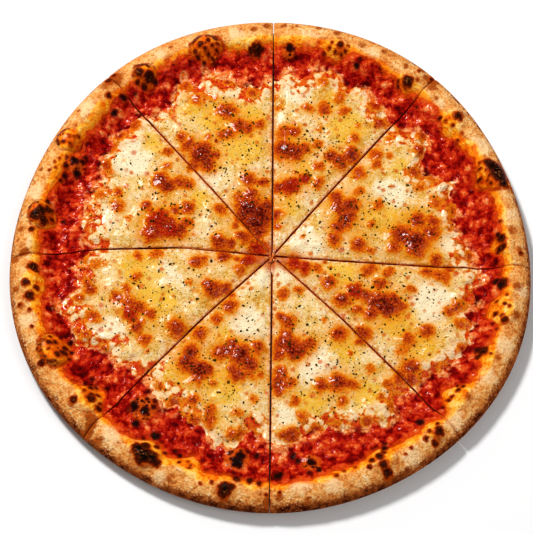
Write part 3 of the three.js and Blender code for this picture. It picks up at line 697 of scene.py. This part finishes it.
def raggedCheeseEdge(angle):
    x, y = 124 * np.cos(angle), 124 * np.sin(angle)
    return cheeseEdge(np.degrees(angle) % 360) + roll(cheese["raggedness"], x, y) + cheese["raggedShift"]


def bakedAt(x, y, reach=1.4):  # neighbouring spots run together but stay round
    left, most = np.ones_like(x), np.zeros_like(x)
    for spotX, spotY, size, dark in spotsNear(cheeseSpots, x, y, 16):
        dome = dark * bump(np.hypot(x - spotX, y - spotY), size * reach)
        left, most = left * (1 - dome), np.maximum(most, dome)
    return 0.6 * most + 0.4 * (1 - left)


def nudged(p):  # the plan pushed about, so that spots aren't round
    x = p.x + roll(((4, 1.3, 6), (0, 0.5, 2.4)), p.x, p.y)
    y = p.y + roll(((5, 1.3, 6), (1, 0.5, 2.4)), p.x, p.y)
    return x, y


def curdAt(p):  # rounded lumps of cheese with creases between them, from 0 to 1
    x, y = p.x + 0.9 * grains[2].at(p.x, p.y, 3), p.y + 0.9 * grains[3].at(p.x, p.y, 3)
    return pebbles[2].at(x, y, cheese["curdSize"])


def cheeseSkin(p):
    x, y = nudged(p)
    baked = bakedAt(x, y)
    blistered = baked * (0.7 + 0.7 * pebbles[0].at(x, y, 2.8) + 0.4 * pebbles[1].at(x, y, 1.7))
    relief = roll(cheese["ripples"], p.x, p.y) + cheese["bakedRise"] * blistered
    for spotX, spotY, size, rise in spotsNear(cheese["blisters"], p.x, p.y, 20):
        relief += rise * cheese["blisterCrisp"] * bump(np.hypot(p.x - spotX, p.y - spotY), size * 1.1)
    relief = relief * mix(0.2, 1, clamp(p.toCut / 3)) - cutRounded(p, 0.7, 1.8)
    edge = raggedCheeseEdge(p.angle)
    relief += ease(cheese["curdWidth"] + p.r - edge, 0, 12) * cheese["curdRise"] * (curdAt(p) - 0.55)
    step = 0.02
    slant = (raggedCheeseEdge(p.angle + step) - raggedCheeseEdge(p.angle - step)) / (2 * step) / edge
    toEdge = (edge - p.r) / np.sqrt(1 + slant * slant) / cheese["dive"]
    over = sauceSkin(p)
    return mix(over - 0.3, np.maximum(cheeseTop(p) + relief, over + 0.2), ease(toEdge, -0.25, 1))


def masksOf(q, **onTop):  # masks of the upper surface, all nought on the under surface q
    return {name: (values, 0 * q.x) for name, values in onTop.items()}


def dressDough(number):
    outer, tip = plan["radius"] - dough["round"], plan["tips"]["dough"]
    bend = dough["round"] * (1 - np.cos(np.linspace(0, math.pi / 2, 28)))
    underBend = dough["round"] * (1 - np.cos(np.linspace(0, math.pi / 2, 12)))
    across = np.arange(dough["roughFrom"], outer, dough["rowStep"])
    topRows = np.concatenate([[tip], dough["innerRows"], across, plan["radius"] - bend[-2::-1]])
    underRows = np.concatenate([[tip], dough["underRows"], plan["radius"] - underBend[::-1]])
    p, q = (gridOf(number, dough["columns"], rows, "dough") for rows in (topRows, underRows))
    cap, scorch = capsAt(p)
    oily = np.maximum(ease(dough["oilyTo"] + 3 * grains[4].at(p.x, p.y, 9) - p.r, -3, 3), clamp(cap))
    # painted shade: the wall's browning is laid more heavily towards the front, away from the key light,
    # and less on the lit back
    palest, darkest, shadeAngle = dough["wallShadeByAngle"]
    wallAngleShade = mix(palest, darkest, 0.5 + 0.5 * np.cos(p.angle - math.radians(shadeAngle)))
    flour = largestBump(onPlan(flourSpots), p, 1.6)
    wall = ease(p.r, plan["radius"] - dough["wallWidth"], plan["radius"]) * wallAngleShade * (1 - 0.45 * flour)
    masks = masksOf(
        q,
        nearCut=1 - clamp(p.toCut / 5),
        toast=largestBump(onPlan(toastSpots), p, 1.6),
        flour=flour,
        oily=oily,
        # painted shade in the crease at the foot of each bubble
        groove=footShadeAt(p) * ease(160 - p.r, 0, 6),
        scorch=scorch,
        cap=cap,
        stain=ease(raggedSauceEdge(p.angle) - p.r, -10, 1) * (1 - 0.7 * clamp(cap)),
    )
    masks["charDepth"] = charDepthAt(p), np.full_like(q.x, -9)
    masks["wall"] = wall, 2 - doughUnder(q) / dough["sideHeight"]
    upper, under = surface(p, doughSkin(p)), surface(q, doughUnder(q))
    return makePiece(f"doughSlice{number + 1}", upper, under, masks, True)


def ringRows(share, start, edge, steps):
    return start + (edge - start)[None, :] * np.linspace(0, 1, steps)[1:, None] + 0 * share[None, :]


def dressSauce(number):
    share = sharesOf(sauce["columns"])
    edge = raggedSauceEdge(Place(number, share, np.full_like(share, 140.0), 0.1).angle)
    ring = ringRows(share, sauce["starts"], edge, sauce["ringRows"])
    inner = np.array([plan["tips"]["sauce"], *sauce["innerRows"]])[:, None] + 0 * share[None, :]
    p = gridOf(number, sauce["columns"], np.concatenate([inner, ring]), "sauce")
    q = gridOf(number, sauce["columns"], np.concatenate([inner, ring[4::8], ring[-1:]]), "sauce")
    beyond = p.r - raggedCheeseEdge(p.angle)
    masks = masksOf(
        q,
        pulp=pulpAt(p.x, p.y),
        creamy=ease(8 + 4 * grains[1].at(p.x, p.y, 6) - beyond, 0, 10),
        rimTint=ease(p.r - edge[None, :], -6, 0),
        blister=largestBump(onPlan([bubble[:3] for bubble in sauce["bubbles"]]), p, 1.2),
    )
    masks["charDepth"] = charDepthAt(p), np.full_like(q.x, -9)
    upper, under = surface(p, sauceSkin(p)), surface(q, doughTop(q) - plan["sink"])
    return makePiece(f"sauceSlice{number + 1}", upper, under, masks, False)


def dressCheese(number):
    share = sharesOf(cheese["columns"])
    edge = raggedCheeseEdge(Place(number, share, np.full_like(share, 124.0), 0.2).angle)
    first, last, rows = cheese["innerRows"]
    ring = ringRows(share, last, edge, cheese["ringRows"])
    inner = np.append(plan["tips"]["cheese"], np.linspace(first, last, rows))[:, None] + 0 * share[None, :]
    p = gridOf(number, cheese["columns"], np.concatenate([inner, ring]), "cheese")
    q = gridOf(number, cheese["columns"], np.concatenate([inner[::12], ring[2::8], ring[-1:]]), "cheese")
    x, y = nudged(p)
    masks = masksOf(
        q,
        bake=bakedAt(x, y),
        halo=bakedAt(x, y, 2.9),
        red=clamp(insideOf(redSpots, x, y) / 7 + 0.4) + ease(13 - p.r, 0, 8) * 0.8,
        milk=clamp(insideOf(milkSpots, x, y) / 8 + 0.4),
        oil=clamp(insideOf(oilSpots, x, y) / 9 + 0.4),
        rim=ease(17 + 7 * grains[1].at(p.x, p.y, 11) + p.r - edge[None, :], 0, 19),
        curd=curdAt(p),
        nearCut=1 - clamp(p.toCut / 6),
    )
    upper, under = surface(p, cheeseSkin(p)), surface(q, sauceTop(q) - plan["sink"])
    return makePiece(f"cheeseSlice{number + 1}", upper, under, masks, False)


# Shader maths as plain expressions.
class Value:
    def __init__(self, maker, socket):
        self.maker, self.socket = maker, socket

    def math(self, operation, first, second):
        return self.maker.node("ShaderNodeMath", dict(operation=operation), {0: first, 1: second})

    def __add__(self, other):
        return self.math("ADD", self, other)

    def __radd__(self, other):
        return self.math("ADD", other, self)

    def __sub__(self, other):
        return self.math("SUBTRACT", self, other)

    def __rsub__(self, other):
        return self.math("SUBTRACT", other, self)

    def __mul__(self, other):
        return self.math("MULTIPLY", self, other)

    def __rmul__(self, other):
        return self.math("MULTIPLY", other, self)


class Maker:
    def __init__(self, name):
        self.material = bpy.data.materials.new(name)
        self.material.use_nodes = True
        self.tree = self.material.node_tree
        self.shader = self.tree.nodes["Principled BSDF"]
        self.colour = None

    def node(self, kind, settings, values, output=0):
        made = self.tree.nodes.new(kind)
        for key, setting in settings.items():
            if key == "stops":
                ramp = made.color_ramp
                for place, colour in setting:
                    stop = ramp.elements[0] if place == setting[0][0] else ramp.elements.new(place)
                    stop.position, stop.color = place, (*colour, 1)
                ramp.elements.remove(ramp.elements[-1])
            else:
                setattr(made, key, setting)
        for key, value in values.items():
            self.set(made.inputs[key], value)
        return Value(self, made.outputs[output])

    def set(self, socket, value):
        if isinstance(value, Value):
            self.tree.links.new(value.socket, socket)
        elif isinstance(value, tuple) and len(value) == 3 and socket.type == "RGBA":
            socket.default_value = (*value, 1)
        else:
            socket.default_value = value

    def mask(self, name):
        return self.node("ShaderNodeAttribute", dict(attribute_name=name), {}, "Fac")

    def place(self):
        return self.node("ShaderNodeTexCoord", {}, {}, "Object")

    def noise(self, size, detail=3, roughness=0.55, distortion=0.0):  # size in mm
        values = {"Vector": self.place(), "Scale": 1 / (size * millimetre), "Detail": detail}
        values.update({"Roughness": roughness, "Distortion": distortion})
        return self.node("ShaderNodeTexNoise", {}, values, 0)

    def grain(self, size, detail=3, roughness=0.55, distortion=0.0):  # about nought, mostly within one
        return (self.noise(size, detail, roughness, distortion) - 0.5) * 5

    def cells(self, size):  # distance from the nearest of scattered points, size in mm
        values = {"Vector": self.place(), "Scale": 1 / (size * millimetre)}
        return self.node("ShaderNodeTexVoronoi", {}, values, "Distance")

    def ease(self, value, low, high):
        values = {"Value": value, "From Min": low, "From Max": high, "To Min": 0.0, "To Max": 1.0}
        return self.node("ShaderNodeMapRange", dict(interpolation_type="SMOOTHSTEP"), values)

    def blend(self, factor, first, second):
        return self.node("ShaderNodeMix", dict(data_type="RGBA"), {0: factor, 6: first, 7: second}, 2)

    def lay(self, factor, colour):  # a layer over the colour so far
        self.colour = self.blend(factor, self.colour, colour)

    def ramp(self, value, stops):
        return self.node("ShaderNodeValToRGB", dict(stops=stops), {"Fac": value})

    def bump(self, height, distance):  # distance in mm
        return self.node("ShaderNodeBump", {}, {"Height": height, "Distance": distance * millimetre})

    def finish(self, values):
        self.set(self.shader.inputs["Base Color"], self.colour)
        for key, value in values.items():
            self.set(self.shader.inputs[key], value)
        return self.material


def shade(red, green, blue):  # a colour as a screen shows it, 0 to 255
    def linear(c):
        c = c / 255
        return c / 12.92 if c <= 0.04045 else ((c + 0.055) / 1.055) ** 2.4

    return linear(red), linear(green), linear(blue)


doughLook = dict(
    base=((0.04, shade(92, 30, 8)), (0.2, shade(156, 72, 26)), (0.36, shade(206, 120, 54)),
          (0.52, shade(232, 158, 84)), (0.7, shade(244, 190, 122)), (0.92, shade(253, 222, 176))),
    oily=((0.04, shade(134, 22, 2)), (0.18, shade(192, 60, 4)), (0.34, shade(232, 104, 8)),
          (0.5, shade(250, 146, 20)), (0.68, shade(255, 184, 56)), (0.9, shade(255, 212, 124))),
    under=((0.3, shade(96, 48, 20)), (0.48, shade(180, 116, 60)), (0.7, shade(224, 178, 120))),
    toast=shade(172, 84, 26),
    oilyToast=shade(222, 102, 8),
    scorch=shade(108, 34, 5),
    wall=shade(170, 88, 36),
    # the lower wall's darkest brown: real browning near the base, and painted shade on the front away from
    # the key light
    wallDarkAndShade=shade(70, 20, 3),
    wallPale=shade(255, 208, 152),
    flour=shade(253, 214, 162),
    charHalo=shade(186, 72, 4),
    charBrown=shade(84, 26, 4),
    ember=shade(150, 66, 18),
    char=shade(20, 7, 2),
    ash=shade(156, 92, 50),
    # the colour of the painted shade at the feet of the bubbles
    groove=shade(184, 66, 4),
    stain=shade(224, 84, 4),
)


def doughMaterial():
    m = Maker("bakedDough")
    look = doughLook
    blotch = m.grain(9)
    medium = m.grain(3.4)
    fine = m.grain(1.7, roughness=0.7)
    sand = (0.42 - m.cells(1.5)) * 2.4
    grit = fine * 0.35 + sand * (0.42 + blotch * 0.2)
    stained = m.mask("stain")
    warmth = blotch * 0.24 + medium * 0.2 + grit * 0.12 - stained * 0.32 - m.mask("cap") * 0.2
    oily = m.ease(m.mask("oily") + medium * 0.14 + grit * 0.12, 0.2, 0.75)
    m.colour = m.ramp(0.59 + blotch * 0.17 + medium * 0.13 + grit * 0.24, look["base"])
    m.lay(oily, m.ramp(0.8 + warmth, look["oily"]))
    flour = m.ease(m.mask("flour") + blotch * 0.22 + medium * 0.14 + grit * 0.2, 0.2, 1.0)
    m.lay(flour * (1 - oily * 0.8) * 0.75, look["flour"])
    # the outer wall, browner towards the base, with pale grains; the wall mask is stronger on the front, so
    # its brown and darkest brown there are partly painted shade
    wall = m.mask("wall")
    crackle = blotch * 0.2 + medium * 0.28 - grit * 0.5
    m.lay(m.ease(wall + crackle, 0.3, 1.1), look["wall"])
    # painted shade: the darkest brown falls mostly on the front wall, away from the key light, as well as
    # near the base
    m.lay(m.ease(wall + crackle, 0.8, 1.6), look["wallDarkAndShade"])
    m.lay(m.ease(grit, 0.25, 0.8) * m.ease(wall, 0.0, 0.5) * 0.75, look["wallPale"])
    m.lay(m.ease(wall, 1.3, 1.9), m.ramp(0.5 + blotch * 0.2 + fine * 0.1, look["under"]))
    # toasted patches, painted shade beside the cuts and at the feet of the bubbles, and the sauce's red
    toasted = m.mask("toast")
    # painted shade: toast is laid more heavily beside the cuts
    toast = toasted + m.mask("nearCut") * 0.45 + medium * 0.3 + blotch * 0.1 - grit * 0.25
    m.lay(m.ease(toast, 0.35, 1.0), m.blend(oily, look["toast"], look["oilyToast"]))
    # painted shade darkens the feet of the bubbles
    m.lay(m.ease(m.mask("groove") + medium * 0.25 - grit * 0.1, 0.4, 1.1), look["groove"])
    stain = m.ease(stained + blotch * 0.15 + medium * 0.1, 0.75, 1.4)
    m.lay(stain, look["stain"])
    # small dark blisters, scorched sides and burnt spots
    leopard = m.ease(m.cells(3.6) + medium * 0.1, 0.32, 0.18) * m.ease(toasted + blotch * 0.2, 0.45, 0.8)
    m.lay(leopard * oily, look["scorch"])
    m.lay(m.ease(m.mask("scorch") + blotch * 0.2 + medium * 0.35 - grit * 0.25, 0.5, 1.1), look["scorch"])
    depth = m.mask("charDepth") + medium * 0.5 - grit * 0.3
    m.lay(m.ease(depth, -1.1, 0.1), look["charHalo"])
    black = m.ease(depth - grit * 0.35, -0.2, 0.9)
    m.lay(black, m.blend(m.ease(grit + medium * 0.3, 0.1, 0.9), look["charBrown"], look["ember"]))
    ashes = m.blend(m.ease(grit + medium * 0.4, -0.1, 0.8), look["char"], look["ash"])
    m.lay(m.ease(depth - grit * 0.5, 0.8, 3.4), ashes)
    height = blotch * 0.3 + medium * 0.35 + grit * (0.7 - oily * 0.4)
    return m.finish({
        "Roughness": 0.8 - oily * 0.3 - stain * 0.15, "Normal": m.bump(height, 0.6),
        "Specular IOR Level": 0.03, "Coat Weight": oily * (1 - black * 0.8) * 0.08, "Coat Roughness": 0.2,
    })


sauceLook = dict(
    # the pulp's reds, from the painted shade of the creases to the painted highlight of the crumb tops
    pulp=((0.04, shade(76, 1, 1)), (0.2, shade(120, 3, 2)), (0.36, shade(168, 18, 6)),
          (0.52, shade(208, 52, 18)), (0.7, shade(240, 106, 44)), (0.92, shade(254, 178, 112))),
    orange=shade(234, 108, 14),
    rimTint=shade(224, 84, 6),
    cream=shade(248, 186, 124),
    blister=shade(222, 98, 16),
    scorch=shade(62, 14, 4),
    dark=shade(96, 14, 2),
    char=shade(34, 10, 4),
)


def sauceMaterial():
    m = Maker("tomatoSauce")
    look = sauceLook
    blotch = m.grain(7)
    medium = m.grain(2.4, detail=4, distortion=0.5)
    fine = m.grain(1.3, roughness=0.7)
    pulp = m.mask("pulp")
    # besides the sauce's own blotches, the colour follows the crumbs' height: the darker red in the creases
    # is painted shade, the palest orange on the tops painted highlight
    m.colour = m.ramp(0.46 + pulp * 0.6 + blotch * 0.18 + medium * 0.1 + fine * 0.1, look["pulp"])
    creamy = m.ease(m.mask("creamy") + blotch * 0.5 + medium * 0.15 + pulp * 0.3, 0.4, 1.2)
    m.lay(creamy * 0.95, m.blend(m.ease(fine * 0.5 + medium, -0.8, 0.9), look["orange"], look["cream"]))
    m.lay(m.ease(m.mask("rimTint") + medium * 0.25 + blotch * 0.2, 0.2, 1.2) * 0.9, look["rimTint"])
    blister = m.ease(m.mask("blister") + medium * 0.15 + fine * 0.1, 0.15, 0.65)
    m.lay(blister * 0.85, look["blister"])
    m.lay(m.ease(m.cells(3) + medium * 0.1, 0.46, 0.3) * m.ease(blister, 0.4, 1.0), look["scorch"])
    depth = m.mask("charDepth") + medium * 0.4 + fine * 0.25
    black = m.ease(depth, 0.1, 1.7)
    m.lay(m.ease(depth, -1.2, 0.8), look["dark"])
    m.lay(black, look["char"])
    height = medium * 0.6 + fine * 0.35 - m.cells(2.6) * 1.4
    return m.finish({
        "Roughness": 0.3 + black * 0.25 - fine * 0.06, "Normal": m.bump(height, 0.5),
        "Specular IOR Level": 0.04, "Coat Weight": m.ease(pulp + fine * 0.3, -0.3, 0.3) * 0.22,
        "Coat Roughness": 0.13,
    })


cheeseLook = dict(
    ground=((0.04, shade(192, 118, 26)), (0.2, shade(214, 156, 58)), (0.38, shade(228, 184, 100)),
            (0.58, shade(236, 204, 144)), (0.78, shade(244, 222, 180)), (0.94, shade(252, 242, 218))),
    milk=shade(249, 235, 200),
    oil=shade(234, 180, 30),
    dot=shade(206, 104, 12),
    halo=shade(230, 146, 20),
    baked=((0.0, shade(236, 176, 60)), (0.14, shade(234, 150, 26)), (0.3, shade(226, 118, 8)),
           (0.46, shade(206, 84, 8)), (0.62, shade(182, 62, 14)), (0.78, shade(146, 36, 6)),
           (0.96, shade(92, 12, 1))),
    # the pale pink of the painted highlights on the baked spots
    crumbHighlight=shade(234, 142, 100),
    red=shade(190, 30, 3),
    rust=shade(208, 68, 10),
    wet=shade(226, 96, 26),
    pink=shade(253, 222, 180),
    shadow=shade(216, 120, 26),
    speck=shade(70, 42, 6),
)


def cheeseMaterial():
    m = Maker("meltedCheese")
    look = cheeseLook
    wide = m.grain(14, detail=2)
    blotch = m.grain(5, detail=4, distortion=0.4)
    medium = m.grain(2.6)
    fine = m.grain(1.3, roughness=0.7)
    tiny = m.grain(0.7, detail=1)
    sand = (0.42 - m.cells(1.6)) * 2.4
    grit = fine * 0.45 + tiny * 0.3 + sand * 0.3
    m.colour = m.ramp(0.55 + wide * 0.2 + blotch * 0.18 + medium * 0.13 + grit * 0.3, look["ground"])
    m.lay(m.ease(m.mask("milk") + blotch * 0.2, 0.2, 1.0) * 0.8, look["milk"])
    oil = m.ease(m.mask("oil") + wide * 0.3 + blotch * 0.4 - grit * 0.4, 0.2, 1.15)
    m.lay(oil * 0.82, look["oil"])
    m.lay(m.ease(m.mask("halo") + blotch * 0.12 - grit * 0.12, 0.08, 1.0) * 0.95, look["halo"])
    # painted shade and painted highlight beside the cuts: an orange-brown shadow and pale pink highlights
    # mixed in blotches
    cutShadeAndHighlight = m.blend(m.ease(medium + blotch * 0.5, -0.3, 0.5), look["shadow"], look["pink"])
    m.lay(m.ease(m.mask("nearCut") + blotch * 0.2, 0.35, 1.1) * 0.55, cutShadeAndHighlight)
    # near the rim sauce seeps up between pale lumps
    rim = m.mask("rim")
    curd = m.mask("curd") + medium * 0.07 + fine * 0.05
    nearRim = m.ease(rim + blotch * 0.2, 0.05, 0.5)
    m.lay(nearRim * m.ease(curd, 0.3, 0.6) * 0.75, look["pink"])
    seep = curd - rim * 0.42 - blotch * 0.18
    m.lay(nearRim * m.ease(seep, 0.46, 0.2), look["halo"])
    wet = m.blend(m.ease(medium * 0.6 + fine * 0.6 + blotch * 0.3, -0.9, 0.9), look["red"], look["wet"])
    m.lay(nearRim * m.ease(seep, 0.34, 0.06), wet)
    # scattered small dots, then the baked spots with painted pink highlights on their crumbs, sauce that
    # shows through and ground pepper
    dots = m.ease(m.cells(6.5) + medium * 0.03, 0.34, 0.12) * m.ease(m.grain(13), -0.5, 0.3)
    m.lay(dots * 0.9, look["dot"])
    flecks = m.ease(m.cells(11.3) + medium * 0.03, 0.24, 0.1) * m.ease(m.grain(17), -0.2, 0.4)
    m.lay(flecks * 0.65, look["rust"])
    mask = m.mask("bake")
    grain = medium * 0.14 + fine * 0.2 - sand * 0.2
    bake = mask * 0.86 + blotch * 0.07 + grain * (0.15 + mask * 0.9)
    m.lay(m.ease(bake, 0.03, 0.26), m.ramp(bake, look["baked"]))
    # painted highlight: pale pink flecks on the crumbs of the baked spots
    m.lay(m.ease(medium * 0.5 + sand * 0.5, 0.1, 0.7) * m.ease(mask, 0.35, 0.75) * 0.4, look["crumbHighlight"])
    m.lay(m.ease(m.mask("red") + medium * 0.3 + blotch * 0.2 + fine * 0.15, 0.3, 1.2) * 0.65, look["red"])
    m.lay(m.ease(m.cells(2.3), 0.2, 0.13) * m.ease(m.noise(9), 0.4, 0.56) * 0.9, look["speck"])
    height = blotch * 0.25 + medium * (0.2 + mask * 0.4)
    height = height + fine * (0.25 + mask * 0.35) + sand * (0.15 + mask * 0.5)
    return m.finish({
        "Roughness": 0.48 - mask * 0.2 - rim * 0.12 - oil * 0.08, "Normal": m.bump(height, 0.5),
        "Specular IOR Level": 0.03, "Coat Weight": 0.11 + mask * 0.12 + rim * 0.2, "Coat Roughness": 0.14,
        "Subsurface Weight": 0.06, "Subsurface Radius": (0.003, 0.002, 0.001), "Subsurface Scale": 0.4,
    })


looks = dict(dough=doughMaterial(), sauce=sauceMaterial(), cheese=cheeseMaterial())
dressers = dict(dough=dressDough, sauce=dressSauce, cheese=dressCheese)
for kind, dress in dressers.items():
    for number in range(8):
        piece = dress(number)
        piece.data.materials.append(looks[kind])
        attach(piece, "root")
        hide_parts(f"{kind}_{number + 1}")
    print(kind, "dressed, last piece has", len(piece.data.polygons), "faces")


# Dried herb: thin crumpled flakes, the largest where the solids have them.
herbs = dict(
    perSlice=260,
    largestPerSlice=6,
    largest=2.5,
    room=(38, 104, 0.2),  # where the largest lie: from, to and how far from the cuts
    seed=7,
    reach=(12, 124),
    lengths=(0.6, 2.0),
    slimness=(0.45, 0.8),
    sides=7,
    thickness=0.3,
    colour=shade(104, 76, 12),
    dark=shade(34, 20, 3),
)


def seededRandom(seed):
    state = seed
    while True:
        state = state * 16807 % 2147483647
        yield state / 2147483647


def herbPlaces(number):
    places = []
    low, high, aside = herbs["room"]
    draw = seededRandom(herbs["seed"] + number * 101)
    for k in range(herbs["largestPerSlice"]):
        r = mix(low, high, (k + next(draw)) / herbs["largestPerSlice"])
        share = mix(aside, 1 - aside, next(draw))
        places.append((share, r, herbs["largest"], math.pi * next(draw)))
    random = np.random.default_rng(herbs["seed"] + number)
    while len(places) < herbs["perSlice"] + herbs["largestPerSlice"]:
        r = mix(*herbs["reach"], math.sqrt(random.random()))
        share = random.random()
        middleness = math.sin(math.pi * share) * math.sin(math.pi * clamp((r - 5) / 125))
        if random.random() > 0.12 + middleness:  # sparser towards the cuts and the rim
            continue
        length = mix(*herbs["lengths"], random.random() ** 2.2)
        places.append((share, r, length, math.pi * random.random()))
    return np.array(places).T


def addFlake(points, faces, random, x, y, z, length, turn):
    sides = herbs["sides"]
    width = length * random.uniform(*herbs["slimness"])
    ring = []
    for k in range(sides):
        a = 2 * math.pi * k / sides
        reach = random.uniform(0.8, 1.15) / 2
        ring.append((math.cos(a) * length * reach, math.sin(a) * width * reach))
    tilt = random.uniform(-0.25, 0.25)
    start = len(points)
    for side in (1, -1):
        for along, aside in ring:
            lift = side * herbs["thickness"] / 2 * random.uniform(0.5, 1) + along * tilt
            points.append((x + along * math.cos(turn) - aside * math.sin(turn),
                           y + along * math.sin(turn) + aside * math.cos(turn), z + lift))
        points.append((x, y, z + side * herbs["thickness"] * 0.6))
    top, low = start + sides, start + 2 * sides + 1
    for k in range(sides):
        n = (k + 1) % sides
        faces.append((start + k, start + n, top))
        faces.append((top + 1 + n, top + 1 + k, low))
        faces.append((start + k, top + 1 + k, top + 1 + n))
        faces.append((start + k, top + 1 + n, start + n))


def makeHerbs():
    points, faces = [], []
    random = np.random.default_rng(herbs["seed"])
    for number in range(8):
        share, r, lengths, turns = herbPlaces(number)
        p = Place(number, share, r, plan["setBack"]["cheese"])
        heights = cheeseSkin(p) + 0.1
        for x, y, z, length, turn in zip(p.x - middle[0], p.y - middle[1], heights, lengths, turns):
            addFlake(points, faces, random, x, y, z, length, turn)
    mesh = bpy.data.meshes.new("herbFlakes")
    mesh.from_pydata([tuple(c * millimetre for c in point) for point in points], [], faces)
    mesh.update()
    piece = bpy.data.objects.new("herbFlakes", mesh)
    bpy.context.collection.objects.link(piece)
    m = Maker("driedHerb")
    m.colour = m.blend(m.ease(m.noise(1.2), 0.35, 0.7), herbs["dark"], herbs["colour"])
    mesh.materials.append(m.finish({"Roughness": 0.7, "Specular IOR Level": 0.0}))
    return piece


herbFlakes = makeHerbs()
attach(herbFlakes, "root")
print("herb flakes scattered:", len(herbFlakes.data.polygons), "faces")

# The stage: a pale floor, a soft key from the back left, a weak fill, and the sky's even light.
stage = dict(
    floorSize=8.0,
    floorColour=(0.9, 0.9, 0.9),
    keyFrom=(-0.62, 0.8, 1.5),
    keySize=0.28,
    keyPower=25,
    fillFrom=(0.9, -0.7, 1.3),
    fillSize=1.0,
    fillPower=6,
    sky=0.24,
)


def softLight(name, start, size, power):
    light = bpy.data.lights.new(name, "AREA")
    light.size, light.energy = size, power
    lamp = bpy.data.objects.new(name, light)
    lamp.location = start
    lamp.rotation_euler = (-Vector(start)).to_track_quat("-Z", "Y").to_euler()
    bpy.context.collection.objects.link(lamp)


def setStage():
    half = stage["floorSize"] / 2
    mesh = bpy.data.meshes.new("floor")
    corners = [(x, y, -0.0002) for x, y in ((-half, -half), (half, -half), (half, half), (-half, half))]
    mesh.from_pydata(corners, [], [(0, 1, 2, 3)])
    floor = bpy.data.objects.new("floor", mesh)
    bpy.context.collection.objects.link(floor)
    m = Maker("paleFloor")
    m.colour = stage["floorColour"]
    mesh.materials.append(m.finish({"Roughness": 0.9}))
    softLight("key", stage["keyFrom"], stage["keySize"], stage["keyPower"])
    softLight("fill", stage["fillFrom"], stage["fillSize"], stage["fillPower"])
    world = bpy.data.worlds.new("evenSky")
    world.use_nodes = True
    background = world.node_tree.nodes["Background"]
    background.inputs["Color"].default_value = (1, 1, 1, 1)
    background.inputs["Strength"].default_value = stage["sky"]
    bpy.context.scene.world = world
    bpy.context.scene.view_settings.view_transform = "Standard"
    bpy.context.scene.view_settings.look = "Medium High Contrast"


setStage()

view = dict(elevation=68.5, distance=1650, lens=175.96, sensor=36, aim=(-2.6, -0.9))


def setCamera():
    camera = bpy.data.cameras.new("camera")
    camera.lens, camera.sensor_width = view["lens"], view["sensor"]
    viewer = bpy.data.objects.new("camera", camera)
    tilt = math.radians(view["elevation"])
    aim = Vector((view["aim"][0] - middle[0], view["aim"][1] - middle[1], 0)) * millimetre
    away = Vector((0, -math.cos(tilt), math.sin(tilt))) * view["distance"] * millimetre
    viewer.location = aim + away
    viewer.rotation_euler = (-away).to_track_quat("-Z", "Y").to_euler()
    bpy.context.collection.objects.link(viewer)
    bpy.context.scene.camera = viewer


setCamera()
print("stage and camera set")
